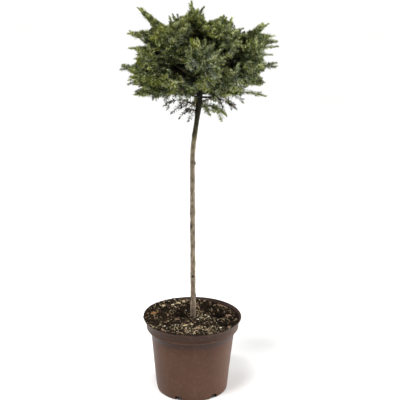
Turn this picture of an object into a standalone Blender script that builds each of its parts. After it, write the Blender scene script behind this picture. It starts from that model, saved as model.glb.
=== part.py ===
"""Potted serbian spruce: a dwarf spruce on a clear stem, in its round nursery pot. Metres, +Z up."""

import math
import random

import bmesh
import bpy
from mathutils import Matrix, Vector

UP = Vector((0, 0, 1))
CLEARANCE = 0.0003  # between pieces that touch
GOLDEN_ANGLE = math.radians(137.5)

# Pot, turned about the vertical axis
POT_HEIGHT = 0.180
RIM_RADIUS = 0.115
RIM_EDGE = 0.0008
RIM_DEPTH = 0.0026
COLLAR_TOP = 0.170  # the collar flares out to the rim above this height
COLLAR_TOP_RADIUS = 0.1105
COLLAR_FOOT = 0.1535
COLLAR_FOOT_RADIUS = 0.107
COVE_RADIUS = 0.043  # hollow curve from the collar in to the body
COVE_TURN = 41.5  # degrees
BODY_TOP = 0.125
BODY_TOP_RADIUS = 0.0962
BASE_RADIUS = 0.0838
BASE_ROUNDING = 0.0035
POT_WALL = 0.0018
POT_FLOOR = 0.003
POT_SIDES = 44

# Drain notches in the corner between floor and wall
DRAIN_COUNT = 6
DRAIN_FIRST = math.radians(-112)
DRAIN_WIDTH = 0.017
DRAIN_HEIGHT = 0.010
DRAIN_DEPTH = 0.016
DRAIN_OVERSHOOT = 0.002  # of the cutter, below the floor
DRAIN_REACH = 0.010  # of the cutter, beyond the wall

# Soil, mounded round the stem and sunk at the back right
SOIL_TOP = 0.1795
SOIL_EDGE_DROP = 0.002
SOIL_SINK = 0.005
SOIL_SINK_TURN = math.radians(38)
SOIL_BUMP = 0.0016
SOIL_WAVES = (230, 190, 410, 350)  # radians a metre
SOIL_FLAT_RADIUS = 0.014
SOIL_RINGS = 5
SOIL_SIDES = 32

# Trunk: heights above the floor, with the sideways lean and the radius there
TRUNK_FOOT = SOIL_TOP + CLEARANCE
TRUNK_TOP = 0.806
TRUNK_FOOT_X = 0.0016
TRUNK_MIDDLE_X = 0.0008
TRUNK_CROWN_X = 0.0165
TRUNK_TOP_X = 0.0105
TRUNK_BEND_START = 0.555
TRUNK_BEND_END = 0.715
TRUNK_STRAIGHTENING = 0.3  # height above the foot by which it stands at its middle place
TRUNK_SWAY = 0.0012
TRUNK_SWAY_WAVE = 17  # radians a metre
TRUNK_FOOT_RADIUS = 0.0061
TRUNK_CROWN_RADIUS = 0.0050
TRUNK_TOP_RADIUS = 0.0026
FLARE = 0.0011
FLARE_HEIGHT = 0.012
GRAFT_SWELLING = 0.0018
GRAFT_HEIGHT = 0.688
GRAFT_SPAN = 0.026
TRUNK_CROWDING = 1.25  # how much closer its rings lie at the foot
TRUNK_SIDES = 8
TRUNK_STEPS = 20

# Crown: a flattened globe that the side shoots keep within
CROWN_CENTRE = Vector((0.0160, 0.0, 0.785))
CROWN_SPREAD = 0.175
CROWN_RISE = 0.106
CROWN_DROP = 0.088
CROWN_TILT = 0.20  # rise of its middle towards the front
CROWN_POWER = 4  # squareness of its section

# Boughs
BOUGH_ROOT_RADIUS = 0.0026
BOUGH_TIP_RADIUS = 0.0018
BOUGH_SIDES = 5
BOUGH_STEPS = 3
BOUGH_FORWARD = 0.8  # shares of its direction towards the mass's tip and level outwards
BOUGH_LEVEL = 0.35
BOUGH_CURVE = 0.35  # how far its two ends pull on its line

# Each mass: azimuth, then where its leading shoot ends and where its bough leaves the trunk
# name: (azimuth in degrees, tip radius, tip height, root height, bough length)
MASSES = {
    "low_right": (-4, 0.149, 0.704, 0.700, 0.028),
    "low_front_right": (-58, 0.150, 0.754, 0.708, 0.028),
    "low_front_left": (-112, 0.152, 0.752, 0.700, 0.028),
    "low_left": (-166, 0.149, 0.712, 0.708, 0.028),
    "low_back_left": (146, 0.168, 0.732, 0.700, 0.028),
    "low_back": (92, 0.156, 0.716, 0.709, 0.028),
    "low_back_right": (40, 0.166, 0.730, 0.716, 0.028),
    "mid_right": (10, 0.177, 0.772, 0.733, 0.030),
    "mid_right_front": (-29, 0.174, 0.804, 0.724, 0.030),
    "mid_front": (-88, 0.166, 0.796, 0.733, 0.030),
    "mid_left_front": (-149, 0.166, 0.804, 0.724, 0.030),
    "mid_left": (178, 0.173, 0.768, 0.733, 0.030),
    "mid_left_back": (130, 0.168, 0.786, 0.724, 0.030),
    "mid_back": (84, 0.166, 0.784, 0.742, 0.030),
    "mid_right_back": (48, 0.168, 0.786, 0.727, 0.030),
    "high_right": (-10, 0.149, 0.862, 0.748, 0.027),
    "high_front_right": (-66, 0.122, 0.848, 0.738, 0.027),
    "high_front_left": (-118, 0.122, 0.846, 0.748, 0.027),
    "high_left": (-174, 0.153, 0.848, 0.741, 0.027),
    "high_back_left": (122, 0.112, 0.870, 0.752, 0.027),
    "high_back_right": (62, 0.115, 0.866, 0.762, 0.027),
    "top_left": (172, 0.135, 0.892, 0.770, 0.024),
    "top_right": (8, 0.080, 0.872, 0.780, 0.022),
    "top_front": (-96, 0.062, 0.868, 0.772, 0.022),
    "top_back": (74, 0.040, 0.890, 0.784, 0.020),
    "leader": (176, 0.017, 0.907, TRUNK_TOP, 0.0),
}
# Small masses that hang under the crown, straight from the trunk
# name: (azimuth in degrees, tip radius, tip height, root height, bough length)
HANGING = {
    "hanging_right": (-22, 0.064, 0.664, 0.676, 0.0),
    "hanging_far_right": (16, 0.086, 0.668, 0.688, 0.0),
    "hanging_left": (-168, 0.080, 0.684, 0.678, 0.0),
    "hanging_left_low": (-142, 0.056, 0.660, 0.668, 0.0),
    "hanging_back": (98, 0.070, 0.672, 0.682, 0.0),
}
HANGING_SEAT = 0.6  # share of the trunk's radius at which their stems start, cut clear of the trunk later
MASS_GAP = 0.0012

# Growth rule of the side shoots on each stem
SIDE_TWIGS = 8
HANGING_SIDE_TWIGS = 4
FIRST_SIDE = 0.08
LAST_SIDE = 0.80
SIDE_ANGLE_ROOT = math.radians(62)
SIDE_ANGLE_TIP = math.radians(36)
SIDE_ANGLE_SPREAD = math.radians(7)
ROLL_SPREAD = 0.5  # radians about the parent, to both sides of the golden angle's place
SIDE_LENGTH_ROOT = 0.62
SIDE_LENGTH_TIP = 0.42
LENGTH_SPREAD = 0.12
OUTWARD = 0.30
DOWNWARD = 0.45  # in place of it on the hanging masses
LIFT = 0.10
LONGEST_SIDE = 0.064
SHORTEST_SHOOT = 0.026
SHORTENING = 0.85
TWIG_ROOT_RADIUS = 0.0018
TWIG_TIP_RADIUS = 0.0008
TWIG_SIDES = 5
BARE_OVERLAP = 0.12  # share of a stem's length by which its bare foot runs on inside its spray

# Sprays of needles
NEEDLE_REACH = 0.0088
NEEDLE_LEAN = 0.0078
SPRAY_STATION = 0.0114
SPRAY_CORE_RADIUS = 0.0027
SPRAY_SIDES = 4
SPRAY_CORE_TAPER = 0.55
NEEDLE_FOOT_SHARE = 0.55  # of the full reach, at the foot of a spray
NEEDLE_TIP_SHARE = 0.45
NEEDLE_SHARE_RISE = 1.6  # a spray's length, from foot or tip
HANGING_THINNESS = 0.6
LONGEST_SPRAY = 0.060

# Cores inside the dense masses
CORE_LENGTH = 0.034
CORE_WIDTH = 0.015
CORE_PLACE = 0.34
CORE_LUMPINESS = 0.15
DENSE_LENGTH = 0.070
CORE_SHRINKING = (1.0, 0.85, 0.7, 0.55)


def clear_scene():
    for obj in list(bpy.data.objects):
        bpy.data.objects.remove(obj)


def linear(hex_colour):
    """An sRGB hex colour as linear red, green, blue and alpha."""
    parts = [int(hex_colour[i : i + 2], 16) / 255 for i in (0, 2, 4)]
    return [c / 12.92 if c <= 0.04045 else ((c + 0.055) / 1.055) ** 2.4 for c in parts] + [1]


def make_material(name, hex_colour, roughness):
    material = bpy.data.materials.new(name)
    material.use_nodes = True
    shader = material.node_tree.nodes["Principled BSDF"]
    shader.inputs["Base Color"].default_value = linear(hex_colour)
    shader.inputs["Roughness"].default_value = roughness
    shader.inputs["Metallic"].default_value = 0.0
    return material


def object_from(name, bm, material=None):
    """A scene object from a bmesh, with its normals outwards."""
    bmesh.ops.recalc_face_normals(bm, faces=bm.faces)
    mesh = bpy.data.meshes.new(name)
    bm.to_mesh(mesh)
    bm.free()
    obj = bpy.data.objects.new(name, mesh)
    if material:
        mesh.materials.append(material)
    bpy.context.scene.collection.objects.link(obj)
    return obj


def smooth(obj, angle=math.radians(35)):
    obj.data.shade_smooth()
    obj.data.set_sharp_from_angle(angle=angle)


def hide_cutter(obj):
    obj.hide_render = True
    obj.display_type = "WIRE"


def cut(obj, cutter):
    modifier = obj.modifiers.new("cut_" + cutter.name, "BOOLEAN")
    modifier.operation = "DIFFERENCE"
    modifier.solver = "EXACT"
    modifier.object = cutter


def mix(a, b, t):
    return a + (b - a) * t


def ease(t):
    """Smooth step from 0 to 1."""
    t = min(max(t, 0.0), 1.0)
    return t * t * (3 - 2 * t)


def arc(centre, radius, start, end, steps):
    """Points (x, z) on an arc, angles in degrees."""
    angles = [math.radians(mix(start, end, i / steps)) for i in range(steps + 1)]
    return [(centre[0] + radius * math.cos(a), centre[1] + radius * math.sin(a)) for a in angles]


def turned(profile, sides):
    """A bmesh turned from an (x, z) profile whose two ends lie on the axis."""
    bm = bmesh.new()
    verts = [bm.verts.new((x, 0, z)) for x, z in profile]
    edges = [bm.edges.new(pair) for pair in zip(verts, verts[1:])]
    bmesh.ops.spin(
        bm, geom=verts + edges, axis=UP, cent=(0, 0, 0), angle=2 * math.pi, steps=sides, use_merge=True
    )
    bmesh.ops.remove_doubles(bm, verts=bm.verts, dist=0.00002)
    return bm


# Pot and soil


def outer_wall():
    """The pot's outside below the rim, top to bottom, as (radius, height)."""
    centre = (BODY_TOP_RADIUS + COVE_RADIUS, BODY_TOP)
    cove = arc(centre, COVE_RADIUS, 180 - COVE_TURN, 180, 2)
    return [(COLLAR_TOP_RADIUS, COLLAR_TOP), (COLLAR_FOOT_RADIUS, COLLAR_FOOT), *cove[1:]]


def inner_wall():
    """The pot's inside as (radius, height), from the floor up to the rim."""
    wall = [(radius - POT_WALL, height) for radius, height in reversed(outer_wall())]
    return [(BASE_RADIUS - POT_WALL, POT_FLOOR), *wall, (RIM_RADIUS - POT_WALL, POT_HEIGHT)]


def wall_radius(height):
    """Radius of the pot's inside at a height."""
    wall = inner_wall()
    for (r0, z0), (r1, z1) in zip(wall, wall[1:]):
        if height <= z1:
            return mix(r0, r1, (height - z0) / (z1 - z0))
    return wall[-1][0]


def build_pot(material):
    rim = [
        (RIM_RADIUS - RIM_EDGE, POT_HEIGHT),
        (RIM_RADIUS, POT_HEIGHT - RIM_EDGE),
        (RIM_RADIUS, POT_HEIGHT - RIM_DEPTH),
    ]
    foot = arc((BASE_RADIUS - BASE_ROUNDING, BASE_ROUNDING), BASE_ROUNDING, 0, -90, 2)
    profile = [(0, POT_FLOOR), *inner_wall(), *rim, *outer_wall(), *foot, (0, 0)]
    pot = object_from("pot", turned(profile, POT_SIDES), material)
    for number in range(DRAIN_COUNT):
        cut(pot, drain_cutter(number))
    smooth(pot)
    return pot


def drain_cutter(number):
    """An arch-topped block that cuts one notch through floor and wall."""
    half = DRAIN_WIDTH / 2
    corner = DRAIN_HEIGHT / 2
    arch = arc((half - corner, corner), corner, 0, 90, 3) + arc((corner - half, corner), corner, 90, 180, 3)
    outline = [(half, -DRAIN_OVERSHOOT)] + arch + [(-half, -DRAIN_OVERSHOOT)]
    inside = BASE_RADIUS - DRAIN_DEPTH
    outside = BASE_RADIUS + DRAIN_REACH
    bm = bmesh.new()
    face = bm.faces.new([bm.verts.new((inside, y, z)) for y, z in outline])
    swept = bmesh.ops.extrude_face_region(bm, geom=[face])
    moved = [item for item in swept["geom"] if isinstance(item, bmesh.types.BMVert)]
    bmesh.ops.translate(bm, verts=moved, vec=(outside - inside, 0, 0))
    turn = DRAIN_FIRST + number * 2 * math.pi / DRAIN_COUNT
    bmesh.ops.rotate(bm, verts=bm.verts, cent=(0, 0, 0), matrix=Matrix.Rotation(turn, 3, "Z"))
    cutter = object_from(f"drain_cutter_{number + 1}", bm)
    hide_cutter(cutter)
    return cutter


def soil_height(x, y):
    """The soil's top: a mound, lower at the rim, sunk to one side and slightly lumpy."""
    away = math.hypot(x - TRUNK_FOOT_X, y)
    share = ease((away - SOIL_FLAT_RADIUS) / (COLLAR_TOP_RADIUS - SOIL_FLAT_RADIUS))
    turn = math.atan2(y, x) - SOIL_SINK_TURN
    sink = SOIL_SINK * share * max(0.0, math.cos(turn)) ** 2
    broad = math.sin(x * SOIL_WAVES[0] + 1.0) * math.cos(y * SOIL_WAVES[1])
    lumps = broad + 0.7 * math.sin(x * SOIL_WAVES[2] - y * SOIL_WAVES[3])
    rough = SOIL_BUMP * lumps * ease((away - SOIL_FLAT_RADIUS) / SOIL_FLAT_RADIUS)
    return SOIL_TOP - SOIL_EDGE_DROP * share - sink + rough


def build_soil(material):
    """A flat round the stem, a lumpy mound out to the wall, then the pot's inside a clearance smaller."""
    turns = [2 * math.pi * side / SOIL_SIDES for side in range(SOIL_SIDES)]
    bm = bmesh.new()
    centre = bm.verts.new((TRUNK_FOOT_X, 0, SOIL_TOP))
    rings = []
    for ring in range(SOIL_RINGS):
        share = ring / (SOIL_RINGS - 1)
        middle = mix(TRUNK_FOOT_X, 0.0, share)
        row = []
        for angle in turns:
            level = soil_height(COLLAR_TOP_RADIUS * math.cos(angle), COLLAR_TOP_RADIUS * math.sin(angle))
            reach = mix(SOIL_FLAT_RADIUS, wall_radius(level) - CLEARANCE, share)
            x = middle + reach * math.cos(angle)
            y = reach * math.sin(angle)
            row.append(bm.verts.new((x, y, level if share == 1 else soil_height(x, y))))
        rings.append(row)
    for radius, height in reversed(inner_wall()[:-1]):
        inside = radius - CLEARANCE
        level = max(height, POT_FLOOR + CLEARANCE)
        rings.append([bm.verts.new((inside * math.cos(a), inside * math.sin(a), level)) for a in turns])
    for side in range(SOIL_SIDES):
        after = (side + 1) % SOIL_SIDES
        bm.faces.new((centre, rings[0][side], rings[0][after]))
        for upper, lower in zip(rings, rings[1:]):
            bm.faces.new((upper[side], lower[side], lower[after], upper[after]))
    bm.faces.new(rings[-1])
    soil = object_from("soil", bm, material)
    smooth(soil)
    return soil


# Limbs


def trunk_centre(height):
    """The trunk's axis: upright, leaning over as it enters the crown and back towards the leader."""
    low = mix(TRUNK_FOOT_X, TRUNK_MIDDLE_X, ease((height - TRUNK_FOOT) / TRUNK_STRAIGHTENING))
    over = ease((height - TRUNK_BEND_START) / (TRUNK_BEND_END - TRUNK_BEND_START))
    back = ease((height - TRUNK_BEND_END) / (TRUNK_TOP - TRUNK_BEND_END))
    sway = TRUNK_SWAY * math.sin((height - TRUNK_FOOT) * TRUNK_SWAY_WAVE)
    x = low + (TRUNK_CROWN_X - TRUNK_MIDDLE_X) * over + (TRUNK_TOP_X - TRUNK_CROWN_X) * back
    return Vector((x, sway, height))


def trunk_radius(height):
    """A slow taper, flared at the foot and swollen at the graft, then a quicker one to the tip."""
    flare = FLARE * math.exp(-(height - TRUNK_FOOT) / FLARE_HEIGHT)
    graft = GRAFT_SWELLING * math.exp(-(((height - GRAFT_HEIGHT) / GRAFT_SPAN) ** 2))
    if height < TRUNK_BEND_END:
        share = (height - TRUNK_FOOT) / (TRUNK_BEND_END - TRUNK_FOOT)
        return mix(TRUNK_FOOT_RADIUS, TRUNK_CROWN_RADIUS, share) + flare + graft
    share = (height - TRUNK_BEND_END) / (TRUNK_TOP - TRUNK_BEND_END)
    return mix(TRUNK_CROWN_RADIUS, TRUNK_TOP_RADIUS, share) + graft


def trunk_line(steps=TRUNK_STEPS):
    """Points of the trunk's axis, closer together in the flare."""
    heights = [mix(TRUNK_FOOT, TRUNK_TOP, (i / steps) ** TRUNK_CROWDING) for i in range(steps + 1)]
    return [trunk_centre(z) for z in heights]


def frame_along(points):
    """For each point of a line, two unit vectors across it that don't twist."""
    frames = []
    across = None
    for i, point in enumerate(points):
        ahead = points[min(i + 1, len(points) - 1)] - points[max(i - 1, 0)]
        ahead.normalize()
        if across is None:
            across = ahead.orthogonal().normalized()
        across = (across - ahead * across.dot(ahead)).normalized()
        frames.append((across, ahead.cross(across)))
    return frames


def tube(points, radii, sides):
    """A bmesh tube along a line, with flat ends."""
    bm = bmesh.new()
    rings = []
    for point, radius, (u, v) in zip(points, radii, frame_along(points)):
        angles = [2 * math.pi * k / sides for k in range(sides)]
        rings.append([bm.verts.new(point + (u * math.cos(a) + v * math.sin(a)) * radius) for a in angles])
    for lower, upper in zip(rings, rings[1:]):
        for k in range(sides):
            bm.faces.new((lower[k], lower[(k + 1) % sides], upper[(k + 1) % sides], upper[k]))
    bm.faces.new(rings[0])
    bm.faces.new(rings[-1])
    return bm


def flat_foot(bm, height):
    """Levels the lowest ring of a tube to a height."""
    lowest = min(v.co.z for v in bm.verts)
    for v in bm.verts:
        if v.co.z < lowest + 0.001:
            v.co.z = height


def build_trunk(material):
    points = trunk_line()
    bm = tube(points, [trunk_radius(p.z) for p in points], TRUNK_SIDES)
    flat_foot(bm, TRUNK_FOOT)
    trunk = object_from("trunk", bm, material)
    smooth(trunk)
    return trunk


class Mass:
    """One mass of foliage: where it starts, its leading direction and its length."""

    def __init__(self, number, name, azimuth, tip_radius, tip_height, root_height, bough_length):
        self.number = number
        self.name = name
        self.hangs = name in HANGING
        turn = math.radians(azimuth)
        sideways = Vector((math.cos(turn), math.sin(turn), 0))
        self.root = trunk_centre(root_height)
        self.tip = Vector((TRUNK_CROWN_X, 0, tip_height)) + sideways * tip_radius
        self.bough_length = bough_length
        to_tip = (self.tip - self.root).normalized()
        if bough_length:
            out = to_tip * BOUGH_FORWARD + sideways * BOUGH_LEVEL
            self.start = self.root + out.normalized() * bough_length
        elif self.hangs:
            self.start = self.root + sideways * (trunk_radius(root_height) * HANGING_SEAT)
        else:
            self.start = self.root + UP * CLEARANCE
        self.direction = (self.tip - self.start).normalized()
        self.length = (self.tip - self.start).length
        self.heart = mix(self.start, self.tip, 0.5)

    def bough_line(self):
        """Points from the trunk's axis to just short of the mass, ending along its direction."""
        end = self.start - self.direction * CLEARANCE
        near_root = mix(self.root, end, BOUGH_CURVE)
        near_end = end - self.direction * (self.bough_length * BOUGH_CURVE)
        points = []
        for i in range(BOUGH_STEPS + 1):
            t = i / BOUGH_STEPS
            points.append(
                self.root * (1 - t) ** 3
                + near_root * 3 * t * (1 - t) ** 2
                + near_end * 3 * t * t * (1 - t)
                + end * t**3
            )
        return points


def build_bough(mass, cutter, material):
    points = mass.bough_line()
    radii = [mix(BOUGH_ROOT_RADIUS, BOUGH_TIP_RADIUS, i / BOUGH_STEPS) for i in range(BOUGH_STEPS + 1)]
    bough = object_from("bough_" + mass.name, tube(points, radii, BOUGH_SIDES), material)
    cut(bough, cutter)
    smooth(bough)
    return bough


def trunk_cutter():
    """The trunk a clearance fatter, to saddle the boughs on it."""
    points = trunk_line()
    bm = tube(points, [trunk_radius(p.z) + CLEARANCE for p in points], TRUNK_SIDES)
    cutter = object_from("trunk_cutter", bm)
    hide_cutter(cutter)
    return cutter


# Foliage


class Twig:
    """A twig's line: straight out, then lifted towards the light."""

    def __init__(self, start, direction, length, order, number):
        self.start = start
        self.direction = direction
        self.length = length
        self.order = order
        self.number = number

    def at(self, t):
        lift = LIFT * self.length * t * t if self.order else 0.0
        return self.start + self.direction * (self.length * t) + UP * lift

    def line(self, first, last, steps):
        return [self.at(mix(first, last, i / steps)) for i in range(steps + 1)]


def in_crown(point):
    """Whether a point lies in the crown's flattened globe."""
    away = point - CROWN_CENTRE
    level = away.z + CROWN_TILT * away.y
    tall = CROWN_RISE if level > 0 else CROWN_DROP
    wide = math.hypot(away.x, away.y) / CROWN_SPREAD
    return wide**CROWN_POWER + abs(level / tall) ** CROWN_POWER <= 1


class Space:
    """The space that a mass keeps to: nearer its own heart than any other, and clear of the limbs."""

    def __init__(self, mass, masses, limbs):
        self.hangs = mass.hangs
        self.walls = []
        for other in masses:
            if other is not mass:
                inwards = (mass.heart - other.heart).normalized()
                self.walls.append((mix(mass.heart, other.heart, 0.5) + inwards * MASS_GAP / 2, inwards))
        self.limbs = limbs

    def holds(self, point):
        return all((point - foot).dot(inwards) > 0 for foot, inwards in self.walls)

    def clear_of_limbs(self, point, reach):
        for start, end, radius in self.limbs:
            along = end - start
            t = min(max((point - start).dot(along) / along.length_squared, 0.0), 1.0)
            if (point - start - along * t).length < radius + reach + CLEARANCE:
                return False
        return True

    def takes(self, twig):
        """Whether a twig and its needles stay in the space, in the crown and off the limbs."""
        side = twig.direction.orthogonal().normalized()
        other = twig.direction.cross(side)
        for t in (0.0, 0.2, 0.4, 0.6, 0.8, 1.0):
            point = twig.at(t)
            if not self.hangs and not in_crown(point):
                return False
            wide = max(NEEDLE_REACH * needle_share(t), SPRAY_CORE_RADIUS) if t else SPRAY_CORE_RADIUS
            around = [side * wide, side * -wide, other * wide, other * -wide]
            if not all(self.holds(point + offset) for offset in around):
                return False
            if not self.clear_of_limbs(point, wide):
                return False
        return True


def side_twig(parent, number, count, space):
    """The side twig of that number on its parent, or None where there is no room for it."""
    draw = random.Random(parent.number * 10 + number + 1)
    share = (number + 0.5) / count
    place = mix(FIRST_SIDE, LAST_SIDE, share)
    roll = draw.uniform(-ROLL_SPREAD, ROLL_SPREAD) + (number + parent.number) * GOLDEN_ANGLE
    angle = mix(SIDE_ANGLE_ROOT, SIDE_ANGLE_TIP, place) + draw.uniform(-1, 1) * SIDE_ANGLE_SPREAD
    length = parent.length * mix(SIDE_LENGTH_ROOT, SIDE_LENGTH_TIP, place)
    length = min(length, LONGEST_SIDE) * (1 + draw.uniform(-1, 1) * LENGTH_SPREAD)
    across = parent.direction.cross(UP)
    if across.length < 0.2:
        across = parent.direction.cross(Vector((1, 0, 0)))
    across.normalize()
    across = Matrix.Rotation(roll, 3, parent.direction) @ across
    start = parent.at(place)
    direction = parent.direction * math.cos(angle) + across * math.sin(angle)
    outward = start - CROWN_CENTRE
    outward.z = max(outward.z, 0.0)
    pull = UP * -DOWNWARD if space.hangs else outward.normalized() * OUTWARD
    direction = (direction + pull).normalized()
    while length > SHORTEST_SHOOT:
        twig = Twig(start, direction, length, parent.order + 1, parent.number * 10 + number + 1)
        if space.takes(twig):
            return twig
        length *= SHORTENING
    return None


def grow(stem, space):
    """The stem and the side shoots that find room on it."""
    count = HANGING_SIDE_TWIGS if space.hangs else SIDE_TWIGS
    sides = [side_twig(stem, number, count, space) for number in range(count)]
    return [stem] + [side for side in sides if side]


def needle_share(t):
    """How far the needles stand out along a spray: less at its foot and at its tip."""
    from_foot = min(1.0, NEEDLE_FOOT_SHARE + NEEDLE_SHARE_RISE * t)
    return from_foot * min(1.0, NEEDLE_TIP_SHARE + NEEDLE_SHARE_RISE * (1 - t))


def spray(points, thinness=1.0):
    """A slim core along a line, with needles that stand out of it by turns, leaning to the tip."""
    bm = bmesh.new()
    count = len(points) - 1
    length = (points[-1] - points[0]).length
    ahead = (points[-1] - points[0]) / length
    rings = []
    for i, (u, v) in enumerate(frame_along(points)[:-1]):
        t = i / count
        slim = SPRAY_CORE_RADIUS * (1 - SPRAY_CORE_TAPER * t) * thinness
        full = needle_share(t) * thinness
        ring = []
        for k in range(SPRAY_SIDES):
            angle = 2 * math.pi * k / SPRAY_SIDES
            out = u * math.cos(angle) + v * math.sin(angle)
            stands = i > 0 and (i + k) % 2 == 0
            offset = out * (NEEDLE_REACH * full) + ahead * (NEEDLE_LEAN * full) if stands else out * slim
            ring.append(bm.verts.new(points[i] + offset))
        rings.append(ring)
    apex = bm.verts.new(points[-1])
    for i, (lower, upper) in enumerate(zip(rings, rings[1:])):
        for k in range(SPRAY_SIDES):
            after = (k + 1) % SPRAY_SIDES
            a, b, c, d = lower[k], lower[after], upper[after], upper[k]
            if (i + k) % 2 == 0:
                bm.faces.new((a, b, d))
                bm.faces.new((b, c, d))
            else:
                bm.faces.new((a, b, c))
                bm.faces.new((a, c, d))
    for k in range(SPRAY_SIDES):
        bm.faces.new((rings[-1][k], rings[-1][(k + 1) % SPRAY_SIDES], apex))
    bm.faces.new(list(reversed(rings[0])))
    return bm


def core(mass, space):
    """A small lumpy body inside a dense mass, clear of the walls of its space and of every limb."""
    middle = mix(mass.start, mass.tip, CORE_PLACE)
    turn = mass.direction.to_track_quat("Z", "Y").to_matrix()
    draw = random.Random(mass.number)
    lumps = [1 + draw.uniform(-1, 1) * CORE_LUMPINESS for _ in range(12)]
    size = Vector((CORE_WIDTH, CORE_WIDTH, CORE_LENGTH))
    for shrink in CORE_SHRINKING:
        bm = bmesh.new()
        bmesh.ops.create_icosphere(bm, subdivisions=1, radius=1.0)
        for vert, lump in zip(bm.verts, lumps):
            offset = turn @ (vert.co * size) * (lump * shrink)
            while not space.holds(middle + offset * 1.1) and offset.length > CORE_WIDTH / 4:
                offset *= 0.9
            vert.co = middle + offset
        tested = [v.co for v in bm.verts] + [f.calc_center_median() for f in bm.faces]
        tested += [(e.verts[0].co + e.verts[1].co) / 2 for e in bm.edges]
        if all(space.clear_of_limbs(point, CLEARANCE * 4) for point in tested):
            return bm
        bm.free()
    return None


def twig_pieces(twig, thinness):
    """The closed pieces that one twig is made of: a bare foot, where it has one, and its spray."""
    bare = max(0.0, 1 - LONGEST_SPRAY / twig.length) if twig.order == 0 else 0.0
    pieces = []
    if bare:
        points = twig.line(0.0, bare + BARE_OVERLAP, 3)
        radii = [mix(TWIG_ROOT_RADIUS, TWIG_TIP_RADIUS, i / 3) for i in range(4)]
        pieces.append(tube(points, radii, TWIG_SIDES))
    steps = max(3, round(twig.length * (1 - bare) / SPRAY_STATION))
    pieces.append(spray(twig.line(bare, 1.0, steps), thinness))
    return pieces


def largest_body(mesh):
    """Keeps a mesh's largest body and drops loose scraps."""
    bm = bmesh.new()
    bm.from_mesh(mesh)
    left = set(bm.verts)
    bodies = []
    while left:
        stack = [left.pop()]
        body = set(stack)
        while stack:
            for edge in stack.pop().link_edges:
                for vert in edge.verts:
                    if vert in left:
                        left.discard(vert)
                        body.add(vert)
                        stack.append(vert)
        bodies.append(body)
    bodies.sort(key=len)
    scraps = [vert for body in bodies[:-1] for vert in body]
    bmesh.ops.delete(bm, geom=scraps, context="VERTS")
    bm.to_mesh(mesh)
    bm.free()


def join(name, pieces, cutter, material):
    """One Boolean union joins the pieces of a mass, the trunk's cutter trims it, and both are applied."""
    objects = [object_from(f"{name}_piece", bm) for bm in pieces]
    held = bpy.data.collections.new(name + "_pieces")
    bpy.context.scene.collection.children.link(held)
    for obj in objects[1:]:
        bpy.context.scene.collection.objects.unlink(obj)
        held.objects.link(obj)
    union = objects[0].modifiers.new("union", "BOOLEAN")
    union.operation = "UNION"
    union.solver = "EXACT"
    union.operand_type = "COLLECTION"
    union.collection = held
    if cutter:
        cut(objects[0], cutter)
    graph = bpy.context.evaluated_depsgraph_get()
    mesh = bpy.data.meshes.new_from_object(objects[0].evaluated_get(graph))
    mesh.name = name
    largest_body(mesh)
    mesh.materials.clear()
    mesh.materials.append(material)
    for obj in objects:
        bpy.data.objects.remove(obj)
    bpy.data.collections.remove(held)
    joined = bpy.data.objects.new(name, mesh)
    bpy.context.scene.collection.objects.link(joined)
    return joined


def limb_segments(masses):
    """Straight stretches of the trunk and the boughs, with their radii, for the foliage to keep off."""
    trunk = trunk_line()
    found = [(a, b, trunk_radius(a.z)) for a, b in zip(trunk, trunk[1:])]
    for mass in masses:
        if mass.bough_length:
            line = mass.bough_line()
            found += [(a, b, BOUGH_ROOT_RADIUS) for a, b in zip(line, line[1:])]
    return found


def build_mass(mass, masses, limbs, cutter, material):
    space = Space(mass, masses, limbs)
    stem = Twig(mass.start, mass.direction, mass.length, 0, mass.number)
    pieces = []
    for twig in grow(stem, space):
        pieces += twig_pieces(twig, HANGING_THINNESS if mass.hangs else 1.0)
    dense = core(mass, space) if mass.length > DENSE_LENGTH and not mass.hangs else None
    if dense:
        pieces.append(dense)
    return join("foliage_" + mass.name, pieces, cutter if mass.hangs else None, material)


def build():
    clear_scene()
    plastic = make_material("pot_plastic", "64493E", 0.45)
    peat = make_material("bark_and_peat_soil", "453A2C", 0.95)
    bark = make_material("spruce_bark", "7D7260", 0.85)
    needles = make_material("spruce_needles", "66703F", 0.60)
    build_pot(plastic)
    build_soil(peat)
    build_trunk(bark)
    sizes = {**MASSES, **HANGING}
    masses = [Mass(100 + i, name, *sizes[name]) for i, name in enumerate(sizes)]
    cutter = trunk_cutter()
    limbs = limb_segments(masses)
    for mass in masses:
        if mass.bough_length:
            build_bough(mass, cutter, bark)
        build_mass(mass, masses, limbs, cutter, needles)


build()
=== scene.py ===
"""Potted serbian spruce: shoots, needles, bark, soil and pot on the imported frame. Metres, +Z up."""

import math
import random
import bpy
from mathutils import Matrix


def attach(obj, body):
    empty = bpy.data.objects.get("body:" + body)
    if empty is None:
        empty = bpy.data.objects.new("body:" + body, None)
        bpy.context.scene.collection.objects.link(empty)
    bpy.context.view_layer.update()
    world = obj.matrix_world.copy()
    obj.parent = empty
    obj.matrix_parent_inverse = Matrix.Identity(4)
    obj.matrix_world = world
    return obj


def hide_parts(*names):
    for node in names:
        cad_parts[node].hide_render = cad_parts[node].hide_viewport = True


bl_info = {
    "name": "Potted serbian spruce",
    "version": (1, 0, 0),
    "blender": (4, 5, 0),
    "location": "View3D > Sidebar > Spruce",
    "description": "Grows the shoots and needles of a potted spruce and finishes its stem, soil and pot",
    "category": "Object",
}

import bmesh
import bpy
from mathutils import Matrix, Vector, kdtree, noise

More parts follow.
